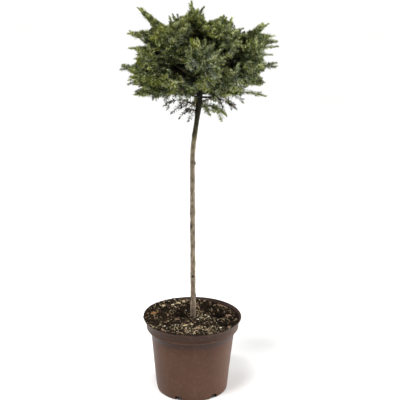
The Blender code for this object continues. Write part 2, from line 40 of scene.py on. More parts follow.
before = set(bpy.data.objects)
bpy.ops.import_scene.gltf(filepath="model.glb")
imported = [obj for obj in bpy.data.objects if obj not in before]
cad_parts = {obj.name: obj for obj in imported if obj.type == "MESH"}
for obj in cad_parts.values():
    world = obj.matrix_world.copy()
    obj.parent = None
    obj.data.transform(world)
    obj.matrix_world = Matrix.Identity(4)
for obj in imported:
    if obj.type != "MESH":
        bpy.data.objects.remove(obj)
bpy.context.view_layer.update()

UP = Vector((0, 0, 1))
CLEARANCE = 0.0003
GOLDEN_ANGLE = math.radians(137.5)
FOLIAGE_NODES = sorted(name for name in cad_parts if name.startswith("foliage_"))
BOUGH_NODES = sorted(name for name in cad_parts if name.startswith("bough_"))

# Pot, as in the part's source
POT_HEIGHT = 0.180
POT_RIM_RADIUS = 0.115
COLLAR_FOOT_RADIUS = 0.107
COVE_RADIUS = 0.043
COVE_TURN = 41.5
BODY_TOP = 0.125
BODY_TOP_RADIUS = 0.0962
BASE_RADIUS = 0.0838
BASE_ROUNDING = 0.0035
POT_FLOOR = 0.003
# painted shade: what the plastic's colour is multiplied by, by height; darkest in the cove under the collar,
# darker on the body just below it and on the collar under the rim, at full colour on the collar's bead
POT_PAINTED_SHADE = (
    (0.110, "#FBFAFA"),
    (0.130, "#F2E6DC"),
    (0.140, "#B89C8A"),
    (0.1515, "#6E5648"),
    (0.1545, "#FFFCFA"),
    (0.1580, "#D4CECA"),
    (0.1620, "#B6B0AC"),
    (0.176, "#B6B0AC"),
)
# unevenness of the thin wall
WARP_TURN = math.radians(146)  # where the rim stands out of round, and over what angle
WARP_WIDTH = 0.42
RIPPLE = 0.0003
BACK_RISE = 0.0022  # how much higher the rim is at the back
FLOOR_REACH = 0.05  # inside this radius the pot stays even
DRAIN_COUNT = 6
DRAIN_FIRST = math.radians(-112)
DRAIN_WIDTH = 0.017
DRAIN_HEIGHT = 0.010
DRAIN_DEPTH = 0.016

# Soil, as in the part's source
SOIL_TOP = 0.1795
SOIL_EDGE_DROP = 0.002
SOIL_SINK = 0.0035
SOIL_SINK_TURN = math.radians(38)
SOIL_FLAT_RADIUS = 0.014
HEAP_RISE = 0.0035
HEAP_TURN = math.radians(118)
# below its top, as (radius, height): inside the wall, and drawn back from the drains
SOIL_SIDE = (
    (0.1070, 0.1670),
    (0.1025, 0.1560),
    (0.0950, 0.1440),
    (0.0905, 0.1250),
    (0.0795, 0.0125),
    (0.0600, 0.0120),
    (0.0590, POT_FLOOR + CLEARANCE),
)
SOIL_RADIUS = 0.1105
SOIL_REACH = 0.1098  # a clearance inside the wall
EVEN_RADIUS = 0.008  # the soil is even this far round the trunk
# unevenness of the soil's top as (waves per metre, height, slice of the noise)
CLODS = ((48, 0.0026, 0.3), (130, 0.0017, 0.9), (380, 0.0008, 1.7))
# hollows in the soil as (x, y, radius, depth)
HOLLOWS = (
    (-0.0262, 0.0080, 0.0160, 0.017),
    (0.0590, 0.0100, 0.0145, 0.013),
    (0.0760, -0.0440, 0.0140, 0.010),
    (0.0340, 0.0520, 0.0120, 0.007),
    (-0.0660, 0.0400, 0.0100, 0.006),
    (-0.0560, -0.0560, 0.0080, 0.005),
)
# places on the soil as (x, y, radius)
PALE_SPOT = (0.026, -0.012, 0.026)
MOSS_SPOTS = (
    (-0.064, -0.024, 0.014),
    (-0.018, -0.050, 0.012),
    (-0.045, 0.058, 0.013),
    (0.052, -0.062, 0.011),
)
# the shape of each kind of litter, as its size and its seed
CHIPS = {
    "peat_crumbs": ((0.0042, 0.0035, 0.0030), 21),
    "bark_chips_dark": ((0.0130, 0.0080, 0.0040), 22),
    "bark_chips_brown": ((0.0120, 0.0075, 0.0036), 23),
    "wood_chips_tan": ((0.0120, 0.0066, 0.0034), 24),
    "perlite": ((0.0062, 0.0052, 0.0046), 25),
    "moss": ((0.0066, 0.0060, 0.0036), 26),
    "bark_chips_rust": ((0.0120, 0.0070, 0.0032), 27),
    "rim_crumbs": ((0.0056, 0.0046, 0.0034), 28),
}
CHIP_TILT = 0.18  # of the larger pieces, in radians
CHIP_RISE = 0.45  # how far their middle lies over the soil, as a share of their height
LITTER_FROM = 0.009  # radius where the first litter falls
RIM_INSIDE = 0.1065  # and where the litter starts to lie on the rim
RIM_LITTER = 0.104  # and where it starts to be as thick as on the rim
LITTER_PATCH = 0.025  # width of the patches that each kind of litter lies in
# larger pieces of bark and grains as (x, y, turn, size, finish)
LARGE_CHIPS = (
    (-0.0930, 0.0115, 20, (0.017, 0.013, 0.0060), "rust"),
    (-0.0830, 0.0190, 70, (0.014, 0.009, 0.0050), "rust"),
    (-0.0150, -0.0580, 8, (0.021, 0.008, 0.0040), "tan"),
    (-0.0010, -0.0520, -25, (0.012, 0.007, 0.0040), "tan"),
    (0.0860, 0.0060, 25, (0.020, 0.012, 0.0050), "brown"),
    (0.0690, 0.0680, -30, (0.018, 0.011, 0.0045), "brown"),
    (0.0120, -0.0740, 12, (0.020, 0.011, 0.0045), "brown"),
    (0.0360, -0.0860, -8, (0.018, 0.010, 0.0045), "brown"),
    (0.0300, 0.0040, 60, (0.0060, 0.0045, 0.0035), "pale"),
    (0.0385, -0.0050, 10, (0.0070, 0.0045, 0.0035), "pale"),
    (0.0220, -0.0130, 100, (0.0050, 0.0040, 0.0032), "pale"),
    (0.0140, -0.0290, 40, (0.0060, 0.0045, 0.0035), "pale"),
    (0.0650, -0.0700, 0, (0.0070, 0.0045, 0.0040), "pale"),
    (0.0560, -0.0790, 30, (0.0055, 0.0045, 0.0035), "pale"),
    (-0.0640, -0.0620, 20, (0.0055, 0.0040, 0.0032), "pale"),
    (-0.0360, 0.0700, -20, (0.0150, 0.0100, 0.0070), "tan"),
    (-0.0480, 0.0600, 30, (0.0080, 0.0060, 0.0045), "pale"),
    (-0.0220, 0.0800, 80, (0.0130, 0.0090, 0.0060), "tan"),
    (-0.0700, 0.0560, 10, (0.0120, 0.0080, 0.0050), "tan"),
    (0.0060, 0.0560, 40, (0.0180, 0.0110, 0.0050), "brown"),
)
# painted shade: what the peat's colour is multiplied by, by height; nearly black deep in the hollows
PEAT_PAINTED_SHADE = ((0.1670, "#15151A"), (0.1755, "#FFFFFF"))

# Trunk, as in the part's source
TRUNK_FOOT = SOIL_TOP + CLEARANCE
TRUNK_TOP = 0.806
TRUNK_FOOT_X = 0.0016
TRUNK_MIDDLE_X = 0.0008
TRUNK_CROWN_X = 0.0165
TRUNK_TOP_X = 0.0105
TRUNK_BEND_START = 0.555
TRUNK_BEND_END = 0.715
TRUNK_STRAIGHTENING = 0.3
TRUNK_SWAY = 0.0012
TRUNK_SWAY_WAVE = 17
TRUNK_FOOT_RADIUS = 0.0061
TRUNK_CROWN_RADIUS = 0.0050
TRUNK_TOP_RADIUS = 0.0026
FLARE = 0.0011
FLARE_HEIGHT = 0.012
GRAFT_SWELLING = 0.0018
GRAFT_HEIGHT = 0.688
GRAFT_SPAN = 0.026
TRUNK_CROWDING = 1.25
TRUNK_STEPS = 20

# Crown, boughs and masses, as in the part's source
CROWN_CENTRE = Vector((0.0160, 0.0, 0.785))
CROWN_SPREAD = 0.175
CROWN_RISE = 0.106
CROWN_DROP = 0.088
CROWN_TILT = 0.20
CROWN_POWER = 4
BOUGH_ROOT_RADIUS = 0.0026
BOUGH_TIP_RADIUS = 0.0018
BOUGH_STEPS = 3
BOUGH_FORWARD = 0.8
BOUGH_LEVEL = 0.35
BOUGH_CURVE = 0.35
# name: (azimuth in degrees, tip radius, tip height, root height, bough length)
MASSES = {
    "low_right": (-4, 0.149, 0.704, 0.700, 0.028),
    "low_front_right": (-58, 0.150, 0.754, 0.708, 0.028),
    "low_front_left": (-112, 0.152, 0.752, 0.700, 0.028),
    "low_left": (-166, 0.149, 0.712, 0.708, 0.028),
    "low_back_left": (146, 0.168, 0.732, 0.700, 0.028),
    "low_back": (92, 0.156, 0.716, 0.709, 0.028),
    "low_back_right": (40, 0.166, 0.730, 0.716, 0.028),
    "mid_right": (10, 0.177, 0.772, 0.733, 0.030),
    "mid_right_front": (-29, 0.174, 0.804, 0.724, 0.030),
    "mid_front": (-88, 0.166, 0.796, 0.733, 0.030),
    "mid_left_front": (-149, 0.166, 0.804, 0.724, 0.030),
    "mid_left": (178, 0.173, 0.768, 0.733, 0.030),
    "mid_left_back": (130, 0.168, 0.786, 0.724, 0.030),
    "mid_back": (84, 0.166, 0.784, 0.742, 0.030),
    "mid_right_back": (48, 0.168, 0.786, 0.727, 0.030),
    "high_right": (-10, 0.149, 0.862, 0.748, 0.027),
    "high_front_right": (-66, 0.122, 0.848, 0.738, 0.027),
    "high_front_left": (-118, 0.122, 0.846, 0.748, 0.027),
    "high_left": (-174, 0.153, 0.848, 0.741, 0.027),
    "high_back_left": (122, 0.112, 0.870, 0.752, 0.027),
    "high_back_right": (62, 0.115, 0.866, 0.762, 0.027),
    "top_left": (172, 0.135, 0.892, 0.770, 0.024),
    "top_right": (8, 0.080, 0.872, 0.780, 0.022),
    "top_front": (-96, 0.062, 0.868, 0.772, 0.022),
    "top_back": (74, 0.040, 0.890, 0.784, 0.020),
    "leader": (176, 0.017, 0.907, TRUNK_TOP, 0.0),
}
HANGING = {
    "hanging_right": (-22, 0.064, 0.664, 0.676, 0.0),
    "hanging_far_right": (16, 0.086, 0.668, 0.688, 0.0),
    "hanging_left": (-168, 0.080, 0.684, 0.678, 0.0),
    "hanging_left_low": (-142, 0.056, 0.660, 0.668, 0.0),
    "hanging_back": (98, 0.070, 0.672, 0.682, 0.0),
}
HANGING_SEAT = 0.6
# the hanging masses that keep a lit set; the rest get the dark set, painted shade under the crown
LIT_HANGING = {"hanging_right": "green", "hanging_back": "deep"}
MASS_GAP = 0.0012

# Growth rule of the side shoots on each stem, as in the part's source
SIDE_TWIGS = 8
HANGING_SIDE_TWIGS = 4
FIRST_SIDE = 0.08
LAST_SIDE = 0.80
SIDE_ANGLE_ROOT = math.radians(62)
SIDE_ANGLE_TIP = math.radians(36)
SIDE_ANGLE_SPREAD = math.radians(7)
ROLL_SPREAD = 0.5
SIDE_LENGTH_ROOT = 0.62
SIDE_LENGTH_TIP = 0.42
LENGTH_SPREAD = 0.12
OUTWARD = 0.30
DOWNWARD = 0.45
LIFT = 0.10
LONGEST_SIDE = 0.064
SHORTEST_SHOOT = 0.026
SHORTENING = 0.85
NEEDLE_REACH = 0.0088
SPRAY_CORE_RADIUS = 0.0027
NEEDLE_FOOT_SHARE = 0.55
NEEDLE_TIP_SHARE = 0.45
NEEDLE_SHARE_RISE = 1.6

# The finer twigs that carry the rule on
FINE_SPACING = 0.0180  # between side twigs along their parent
FINE_FIRST = 0.14
FINE_LAST = 0.78
FINE_LENGTH_ROOT = 0.40
FINE_LENGTH_TIP = 0.26
FINE_SHORTEST = 0.009
FINE_LONGEST = 0.020
FINE_ORDERS = 2
FINE_ROLL = 0.6
FINE_UNEVEN = 1.5  # how much more than the side shoots they differ in angle and length
HANGING_FINE = (4, 1)  # finer twigs on a hanging twig, by order
FORKING_LENGTH = 0.020  # a finer twig shorter than this has no twigs of its own
FILL_TWIGS = 18  # shoots between a stem's own side shoots
FILL_LENGTH = 0.058
FILL_OUTWARD = 0.45  # how much they turn away from the crown's centre
TIP_ROOM = 0.006  # left beyond a fine twig's tip for its last needles
FINE_DEPTH = 0.93  # how far out in the crown the finer twigs go; the stems alone go further
REACHING_SHARE = 0.15  # of the finer twigs, those that reach the crown's surface
CROWN_EDGE = 1.03  # how far out those and a stem's last ones go
PLUME_FROM = 0.62  # where on a stem its free end starts, a plume with short twigs up to the last place
PLUME_LAST = 0.93
PLUME_TWIG = 0.020
PLUME_TAPER = 0.09  # how far the crown's surface draws in between the stems, at the next distance from them
PLUME_WIDTH = 0.045
TAPER_FROM = 0.03  # and this far in front of the trunk or behind it
TAPER_FADE = 0.06
STEEP = 0.2  # a heading this near upright takes its sideways from the X axis
# (how far out in the crown thin places are looked for, distance from every twig that makes one)
THIN_SHELLS = ((0.72, 0.0140), (0.85, 0.0120), (0.94, 0.0170))
THIN_SPOTS = 900
THIN_LOWEST = 0.699  # below this height the crown stays open
THIN_SLANT = 0.9  # how far back on its stem a shoot into a thin place starts, for each part it stands off
SHOOT_ARCH = 0.05
THIN_LENGTH = 0.060
SHOOT_FIRST = 0.10  # where on its stem such a shoot may start
SHOOT_LAST = 0.85
SHOOT_NUMBER = 9000  # from here on they are numbered, for their draws
UNDER_RAGGED = 0.20  # how unevenly the crown ends below
UNDER_MORE = 0.12  # how much further than elsewhere it may reach there
# painted shade: needles deeper in the crown than these shares get the dark and the shaded sets
INNER_DEPTH = 0.54  # share of the way out where the darkest needles end
INNER_WAVE = 0.08  # how unevenly, from twig to twig
SHADED_DEPTH = 0.69  # and the shaded ones
BELOW_CROWN = 0.690
CROWN_TALL = 0.20  # from there to the top, for the light on a spray
PATH_STEP = 0.005  # between the points of a twig's path
BARK_STEP = 0.012  # and of its bark
BUD_TWIG = 0.016  # length of the shortest twig with a bud
PIECE_METRES = 17.0  # twigs that one piece of needles covers
DROOPING = 8  # thin twigs that hang from each low stem
DROOPING_BELOW = 0.790  # height of a stem's tip under which such twigs hang from it
ARCHED_BELOW = 0.756  # and under which it arches
DROOPING_LENGTH = 0.036
DROOPING_FROM = 0.08  # where along the stem the first and the last of them hang
DROOPING_TO = 0.72
DROOPING_RISE = 0.2  # how much higher they end, for each part away from the trunk
LOWEST_NEEDLE = 0.664
LOW_ARCH = 0.09  # how far a low stem arches over a straight line, as a share of its length
HANGING_ARCH = 0.20
HANGING_PULL = 0.75
CAMERA_PLACE = Vector((0.0177, -2.121, 1.076))
# (x, z, radius) in the plane of the trunk, seen from the camera: where the sky shows between the plumes
NOTCHES = (
    (-0.0700, 0.892, 0.024), (-0.1156, 0.866, 0.016), (-0.1300, 0.865, 0.014), (-0.1350, 0.821, 0.015),
    (-0.1440, 0.789, 0.021), (-0.1600, 0.740, 0.019), (-0.1450, 0.737, 0.008), (-0.1400, 0.710, 0.010),
    (-0.0575, 0.866, 0.012), (-0.0600, 0.873, 0.014), (-0.0400, 0.889, 0.015), (-0.1380, 0.856, 0.008),
    (-0.1670, 0.771, 0.009), (0.0800, 0.893, 0.010), (0.0270, 0.884, 0.007), (0.0420, 0.891, 0.022),
    (0.0360, 0.876, 0.010), (0.0690, 0.892, 0.011), (0.0830, 0.872, 0.006), (0.1130, 0.874, 0.020),
    (0.1050, 0.856, 0.009), (0.1180, 0.872, 0.027), (0.1360, 0.882, 0.027), (0.1660, 0.875, 0.012),
    (0.1650, 0.848, 0.011), (0.1850, 0.835, 0.010), (0.1740, 0.788, 0.014), (0.1838, 0.753, 0.021),
    (0.1740, 0.741, 0.012), (0.1320, 0.708, 0.018), (0.1300, 0.696, 0.017), (-0.0480, 0.717, 0.007),
    (-0.1500, 0.820, 0.014), (-0.1200, 0.818, 0.009), (-0.0260, 0.898, 0.018), (0.0110, 0.903, 0.009),
    (0.0600, 0.897, 0.018), (0.0900, 0.899, 0.014), (0.1680, 0.810, 0.010), (0.1600, 0.890, 0.014),
    (-0.1050, 0.858, 0.014), (-0.1250, 0.858, 0.014), (-0.1120, 0.819, 0.011), (0.1580, 0.748, 0.008),
)
# the same for the dark gaps between the plumes that face the camera, where the needles are painted near black
# as shade
DARK_GAPS = (
    (-0.0300, 0.772, 0.0090), (-0.0175, 0.745, 0.0080), (-0.0080, 0.758, 0.0060), (0.0045, 0.738, 0.0100),
    (0.0185, 0.752, 0.0060), (0.0130, 0.708, 0.0100), (-0.0194, 0.720, 0.0060),
)
GAP_DEPTH = 0.58  # how far out in the crown such a gap reaches in
# (x, y, z) of the tips of the long shoots that stand out of the crown between the stems
LONG_SHOOTS = (
    (0.1840, -0.010, 0.8360), (0.1900, 0.010, 0.8215), (0.1925, 0.000, 0.8120), (0.1790, -0.020, 0.7960),
    (0.1640, 0.000, 0.7310), (-0.1440, 0.000, 0.8400), (-0.1420, 0.000, 0.8080), (-0.1290, -0.020, 0.7870),
    (-0.1440, 0.000, 0.7350), (-0.1460, 0.020, 0.7230), (-0.1309, 0.000, 0.7050), (-0.1140, 0.022, 0.8960),
    (-0.1110, 0.010, 0.8900), (0.0285, 0.000, 0.9010), (0.1920, 0.010, 0.7670), (0.1560, -0.010, 0.7150),
    (0.1200, 0.110, 0.8400), (0.0500, 0.150, 0.8420), (-0.0300, 0.150, 0.8400), (-0.0900, 0.110, 0.8300),
    (-0.1050, 0.110, 0.7600), (0.0000, 0.165, 0.7600), (0.0700, 0.160, 0.7600), (0.1350, 0.105, 0.7700),
    (0.0680, 0.060, 0.8740), (-0.0450, 0.060, 0.8800), (-0.0510, 0.040, 0.8770), (-0.0105, 0.000, 0.8910),
    (-0.0330, 0.050, 0.8800), (0.0925, 0.020, 0.8590), (0.1060, 0.000, 0.8490),
)
LONG_SLANT = 1.5  # how far back on its stem such a shoot starts, for each part it stands off
STEM_END = 0.004  # how far a stem ends within its mass's tip, where its last needles reach
STEM_SHORTEST = 0.85  # of its mass's length, for a stem that ends in a gap
STEM_STEP = 0.98
WHOLE_STEMS = ("leader", "top_left", "high_right")  # those that stay as long as their masses
TWIG_RADII = (0.0016, 0.0011, 0.0008, 0.0006)  # at the foot, by order
TWIG_TIP_RADIUS = 0.0005
HANGING_NEEDLES = 0.55  # share of the needles that stay on a hanging twig


# Tools


def linear(hex_colour):
    """An sRGB hex colour as linear red, green and blue."""
    parts = [int(hex_colour[i : i + 2], 16) / 255 for i in (1, 3, 5)]
    return tuple(c / 12.92 if c <= 0.04045 else ((c + 0.055) / 1.055) ** 2.4 for c in parts)


def mix(a, b, t):
    return a + (b - a) * t


def ease(t):
    """Slow out of 0 and slow into 1."""
    t = min(max(t, 0.0), 1.0)
    return t * t * (3 - 2 * t)


def arc(centre, radius, start, end, steps):
    """Points (x, z) on an arc, angles in degrees."""
    angles = [math.radians(mix(start, end, i / steps)) for i in range(steps + 1)]
    return [(centre[0] + radius * math.cos(a), centre[1] + radius * math.sin(a)) for a in angles]


def turns_of(sides):
    """Even steps of angle all the way round."""
    return [2 * math.pi * side / sides for side in range(sides)]


def skin(bm, rows):
    """Faces between rows of vertices that run round a limb, and over both its ends."""
    for a, b in zip(rows, rows[1:]):
        for k in range(len(a)):
            after = (k + 1) % len(a)
            bm.faces.new((a[k], a[after], b[after], b[k]))
    bm.faces.new(rows[0])
    bm.faces.new(rows[-1])


def object_from(name, bm, materials=()):
    """A scene object from a bmesh, with its normals outwards."""
    bmesh.ops.recalc_face_normals(bm, faces=bm.faces)
    mesh = bpy.data.meshes.new(name)
    bm.to_mesh(mesh)
    bm.free()
    return object_of(name, mesh, materials)


def object_of(name, mesh, materials=()):
    """A scene object of a mesh."""
    obj = bpy.data.objects.new(name, mesh)
    for material in materials:
        mesh.materials.append(material)
    bpy.context.scene.collection.objects.link(obj)
    return obj


def applied(obj):
    """Turns an object's modifiers into its mesh."""
    graph = bpy.context.evaluated_depsgraph_get()
    done = obj.evaluated_get(graph)
    mesh = bpy.data.meshes.new_from_object(done, preserve_all_data_layers=True, depsgraph=graph)
    obj.modifiers.clear()
    obj.data = mesh
    return obj


def smooth(obj, angle=math.radians(40)):
    """Smooth shading, but for edges sharper than an angle."""
    obj.data.shade_smooth()
    obj.data.set_sharp_from_angle(angle=angle)


def seat(obj, nodes):
    """Puts a finished piece on the frame, in place of its CAD nodes."""
    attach(obj, "root")
    if nodes:
        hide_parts(*nodes)
    return obj


# kinds of node that the trees below use often
MATH = "ShaderNodeMath"
VECTOR_MATH = "ShaderNodeVectorMath"
MAP_RANGE = "ShaderNodeMapRange"
COMBINE = "ShaderNodeCombineXYZ"
COMPARE = "FunctionNodeCompare"
RANDOM = "FunctionNodeRandomValue"
ALIGN = "FunctionNodeAlignRotationToVector"
SET_MATERIAL = "GeometryNodeSetMaterial"
REALIZE = "GeometryNodeRealizeInstances"


def add(tree, kind, settings=None, inputs=None):
    """One node with its settings; each input takes a value, a socket, or a node's first live output."""
    node = tree.nodes.new(kind)
    for name, value in (settings or {}).items():
        setattr(node, name, value)
    for key, value in (inputs or {}).items():
        named_so = (socket for socket in node.inputs if socket.name == key and socket.enabled)
        socket = node.inputs[key] if isinstance(key, int) else next(named_so)
        if isinstance(value, bpy.types.Node):
            value = out(value)
        if isinstance(value, bpy.types.NodeSocket):
            tree.links.new(value, socket)
        else:
            socket.default_value = value
    return node


def out(node, name=None):
    """A node's first live output, or the one of that name."""
    return next(socket for socket in node.outputs if socket.enabled and (name is None or socket.name == name))


# Materials


def new_material(name, roughness, specular=0.5):
    """A material with its shader, and the object coordinates that its patterns follow."""
    material = bpy.data.materials.new(name)
    material.use_nodes = True
    tree = material.node_tree
    shader = tree.nodes["Principled BSDF"]
    shader.inputs["Roughness"].default_value = roughness
    shader.inputs["Specular IOR Level"].default_value = specular
    place = out(add(tree, "ShaderNodeTexCoord"), "Object")
    return material, tree, shader, place


def speckle(tree, place, size, detail=3, stretch=(1, 1, 1)):
    """Noise whose blotches measure about a size in metres."""
    mapped = add(tree, "ShaderNodeMapping", {}, {"Vector": place, "Scale": stretch})
    grains = add(tree, "ShaderNodeTexNoise", {}, {"Vector": mapped, "Scale": 1 / size, "Detail": detail})
    return out(grains, "Fac")


def ramp(tree, fac, stops):
    """Colours along a factor, as (place, sRGB hex or linear triple)."""
    node = add(tree, "ShaderNodeValToRGB", {}, {"Fac": fac})
    elements = node.color_ramp.elements
    elements.remove(elements[1])
    for number, (where, tone) in enumerate(stops):
        element = elements.new(where) if number else elements[0]
        element.position = where
        element.color = (*(linear(tone) if isinstance(tone, str) else tuple(tone)), 1)
    return out(node, "Color")


def blend_colours(tree, fac, a, b, kind="MIX"):
    """Colour a blended with colour b by a factor."""
    settings = {"data_type": "RGBA", "blend_type": kind}
    return out(add(tree, "ShaderNodeMix", settings, {"Factor": fac, "A": a, "B": b}), "Result")


def relief(tree, shader, height, depth):
    """Bumps of a depth in metres on a shader."""
    bump = add(tree, "ShaderNodeBump", {}, {"Height": height, "Distance": depth, "Strength": 1.0})
    tree.links.new(out(bump), shader.inputs["Normal"])


def pot_plastic(sizes):
    """Moulded polypropylene with recycled pigment: an even satin sheen, fine grain, a dusty bloom, and
    painted shade in the cove and on the collar.
    """
    material, tree, shader, place = new_material("moulded_brown_polypropylene", 0.42, 0.22)
    base = sizes.colour
    streaks = speckle(tree, place, 0.030, 4, (1, 1, 0.35))
    dust = speckle(tree, place, 0.009, 6)
    body = ramp(tree, streaks, [(0.35, scaled(base, (0.90,) * 3)), (0.65, scaled(base, (1.10,) * 3))])
    # painted shade in the cove and on the collar, by height
    body = by_height(tree, place, body, POT_PAINTED_SHADE)
    dusty = ramp(tree, dust, [(0.52, (0, 0, 0)), (0.80, (0.16, 0.16, 0.16))])
    colour = blend_colours(tree, dusty, body, (*sizes.dust_colour, 1))
    tree.links.new(colour, shader.inputs["Base Color"])
    rough = add(tree, MAP_RANGE, {}, {"Value": dust, "To Min": 0.36, "To Max": 0.55})
    tree.links.new(out(rough), shader.inputs["Roughness"])
    relief(tree, shader, speckle(tree, place, 0.0011, 2), 0.00006)
    return material


def tones_between(low, high, tones):
    """Tones as ramp stops, spread evenly between two places."""
    return [(mix(low, high, i / (len(tones) - 1)), tone) for i, tone in enumerate(tones)]


def scaled(colour, factors):
    """A linear colour with each part multiplied by its own factor."""
    return [c * k for c, k in zip(colour, factors)]


def by_height(tree, place, colour, shades, uneven=None):
    """A colour multiplied by others that change with the height, as (metres, sRGB hex)."""
    height = out(add(tree, "ShaderNodeSeparateXYZ", {}, {"Vector": place}), "Z")
    if uneven:
        height = add(tree, MATH, {"operation": "MULTIPLY_ADD"}, {0: uneven, 1: SHADE_WANDER, 2: height})
        shades = [(where + SHADE_WANDER / 2, tone) for where, tone in shades]
    return blend_colours(tree, 1.0, colour, ramp(tree, height, shades), "MULTIPLY")


def earth(name, tones, roughness=0.92, size=0.004, specular=0.06, shades=None):
    """A crumbly matt material in a few tones that vary over a size in metres."""
    material, tree, shader, place = new_material(name, roughness, specular)
    colour = ramp(tree, speckle(tree, place, size, 4), tones_between(0.34, 0.66, tones))
    if shades:
        colour = by_height(tree, place, colour, shades)
    tree.links.new(colour, shader.inputs["Base Color"])
    relief(tree, shader, speckle(tree, place, size * 0.35, 3), 0.0004)
    return material


def bark(name, tones, crack, shades):
    """Young spruce bark: thin grey-brown scales, dark cracks and knots, and a tint by height, which on the
    stem is algae with painted shade under the crown.
    """
    material, tree, shader, place = new_material(name, 0.86, 0.3)
    scales = speckle(tree, place, 0.006, 5, (1, 1, 0.45))
    cracks = speckle(tree, place, 0.0016, 4, (1, 1, 0.18))
    body = ramp(tree, scales, tones_between(0.30, 0.70, tones))
    dark = ramp(tree, cracks, [(0.33, (0.9, 0.9, 0.9)), (0.44, (0, 0, 0))])
    colour = blend_colours(tree, dark, body, (*linear(crack), 1))
    colour = by_height(tree, place, colour, shades, scales)
    mark = out(add(tree, "ShaderNodeAttribute", {"attribute_name": "mark"}), "Fac")
    colour = blend_colours(tree, mark, colour, (*linear("#1E1812"), 1))
    tree.links.new(colour, shader.inputs["Base Color"])
    relief(tree, shader, cracks, 0.0003)
    return material


def needle_finish(name, colour):
    """Waxy needle skin: one green, a little yellower and paler from place to place."""
    material, tree, shader, place = new_material(name, 0.5, 0.14)
    tones = [(0.38, scaled(colour, (0.80, 0.84, 0.88))), (0.64, scaled(colour, (1.22, 1.18, 1.05)))]
    tree.links.new(ramp(tree, speckle(tree, place, 0.012, 3), tones), shader.inputs["Base Color"])
    return material


# Sizes and colours


class PotSizes(bpy.types.PropertyGroup):
    rim_radius: bpy.props.FloatProperty(
        name="Rim radius", description="Outside radius of the rim", default=POT_RIM_RADIUS, unit="LENGTH"
    )
    wall: bpy.props.FloatProperty(
        name="Wall", description="Thickness of the moulded wall", default=0.0018, unit="LENGTH", precision=4
    )
    warp: bpy.props.FloatProperty(
        name="Warp", description="How far the rim stands out of round at the back left",
        default=0.004, unit="LENGTH"
    )
    lean: bpy.props.FloatProperty(
        name="Lean", description="How far the body sits to one side of the rim",
        default=-0.0016, unit="LENGTH", precision=4
    )
    colour: bpy.props.FloatVectorProperty(
        name="Plastic", description="Colour of the moulded plastic",
        default=linear("#563929"), subtype="COLOR", size=3
    )
    dust_colour: bpy.props.FloatVectorProperty(
        name="Dust", description="Colour of the dusty bloom",
        default=linear("#8A705E"), subtype="COLOR", size=3
    )


class SoilSizes(bpy.types.PropertyGroup):
    crumb_gap: bpy.props.FloatProperty(
        name="Crumb gap", description="Least distance between crumbs of peat",
        default=0.0024, unit="LENGTH", precision=4
    )
    chip_gap: bpy.props.FloatProperty(
        name="Chip gap", description="Least distance between bark chips",
        default=0.0070, unit="LENGTH", precision=4
    )
    seed: bpy.props.IntProperty(name="Seed", description="Where the crumbs and chips fall", default=7)


class StemSizes(bpy.types.PropertyGroup):
    relief: bpy.props.FloatProperty(
        name="Bark relief", description="Depth of the bark's cracks",
        default=0.0004, unit="LENGTH", precision=4
    )
    scale_width: bpy.props.FloatProperty(
        name="Scale width", description="Width of a bark scale across the stem",
        default=0.0024, unit="LENGTH", precision=4
    )


class FoliageSizes(bpy.types.PropertyGroup):
    needle_length: bpy.props.FloatProperty(
        name="Needle length", description="Length of a full needle",
        default=0.0116, unit="LENGTH", precision=4
    )
    needle_width: bpy.props.FloatProperty(
        name="Needle width", description="Width of a needle's flat blade",
        default=0.0021, unit="LENGTH", precision=4
    )
    needle_gap: bpy.props.FloatProperty(
        name="Needle gap", description="Distance along the shoot from needle to needle",
        default=0.00047, unit="LENGTH", precision=5
    )
    lean_foot: bpy.props.FloatProperty(
        name="Lean at the foot", description="Angle between needle and shoot at its foot",
        default=math.radians(66), unit="ROTATION"
    )
    lean_tip: bpy.props.FloatProperty(
        name="Lean at the tip", description="Angle between needle and shoot at its tip",
        default=math.radians(25), unit="ROTATION"
    )
    upward: bpy.props.FloatProperty(
        name="Upward", description="How much the needles turn to the light", default=0.16, subtype="FACTOR"
    )
    # the palest needles are painted highlights as well as pale waxy sides
    pale_share: bpy.props.FloatProperty(
        name="Pale share", description="Share of needles that show their palest side",
        default=0.17, subtype="FACTOR"
    )
    dark_share: bpy.props.FloatProperty(
        name="Dark share", description="Share of needles that lie in their neighbours' shade",
        default=0.12, subtype="FACTOR"
    )
    seed: bpy.props.IntProperty(name="Seed", description="Unevenness of the needles", default=3)


class StageSizes(bpy.types.PropertyGroup):
    camera_place: bpy.props.FloatVectorProperty(
        name="Camera", description="Where the camera stands",
        default=CAMERA_PLACE, subtype="TRANSLATION", unit="LENGTH", size=3
    )
    camera_drop: bpy.props.FloatProperty(
        name="Camera drop", description="How far the camera looks down",
        default=math.radians(16.1), unit="ROTATION"
    )
    lens: bpy.props.FloatProperty(name="Lens", description="Focal length in millimetres", default=87.3)
    floor_radius: bpy.props.FloatProperty(
        name="Floor radius", description="How far the flat floor reaches", default=26.0, unit="LENGTH"
    )
    wall_height: bpy.props.FloatProperty(
        name="Wall height", description="How high the floor turns up round the plant",
        default=12.0, unit="LENGTH"
    )
    sky: bpy.props.FloatProperty(name="Sky", description="Strength of the pale surroundings", default=0.33)
    key: bpy.props.FloatProperty(
        name="Key light", description="Strength of the broad light above", default=2.42
    )
    softness: bpy.props.FloatProperty(
        name="Softness", description="How wide the light above is, seen from the plant",
        default=math.radians(20), unit="ROTATION"
    )
    left: bpy.props.FloatProperty(
        name="Left light", description="Power of the strip on the left", default=7.0, unit="POWER"
    )
    right: bpy.props.FloatProperty(
        name="Right light", description="Power of the strip on the right", default=32.0, unit="POWER"
    )


# what a needle set gives colours to: both sides, the palest needles as painted highlights and pale waxy
# sides, and, as painted shade, the needles in their neighbours' shade with the foot of every needle
NEEDLE_PARTS = {
    "Upper Finish": "upper",
    "Under Finish": "underside",
    "Pale Finish": "pale",
    "Foot Finish": "foot",
}
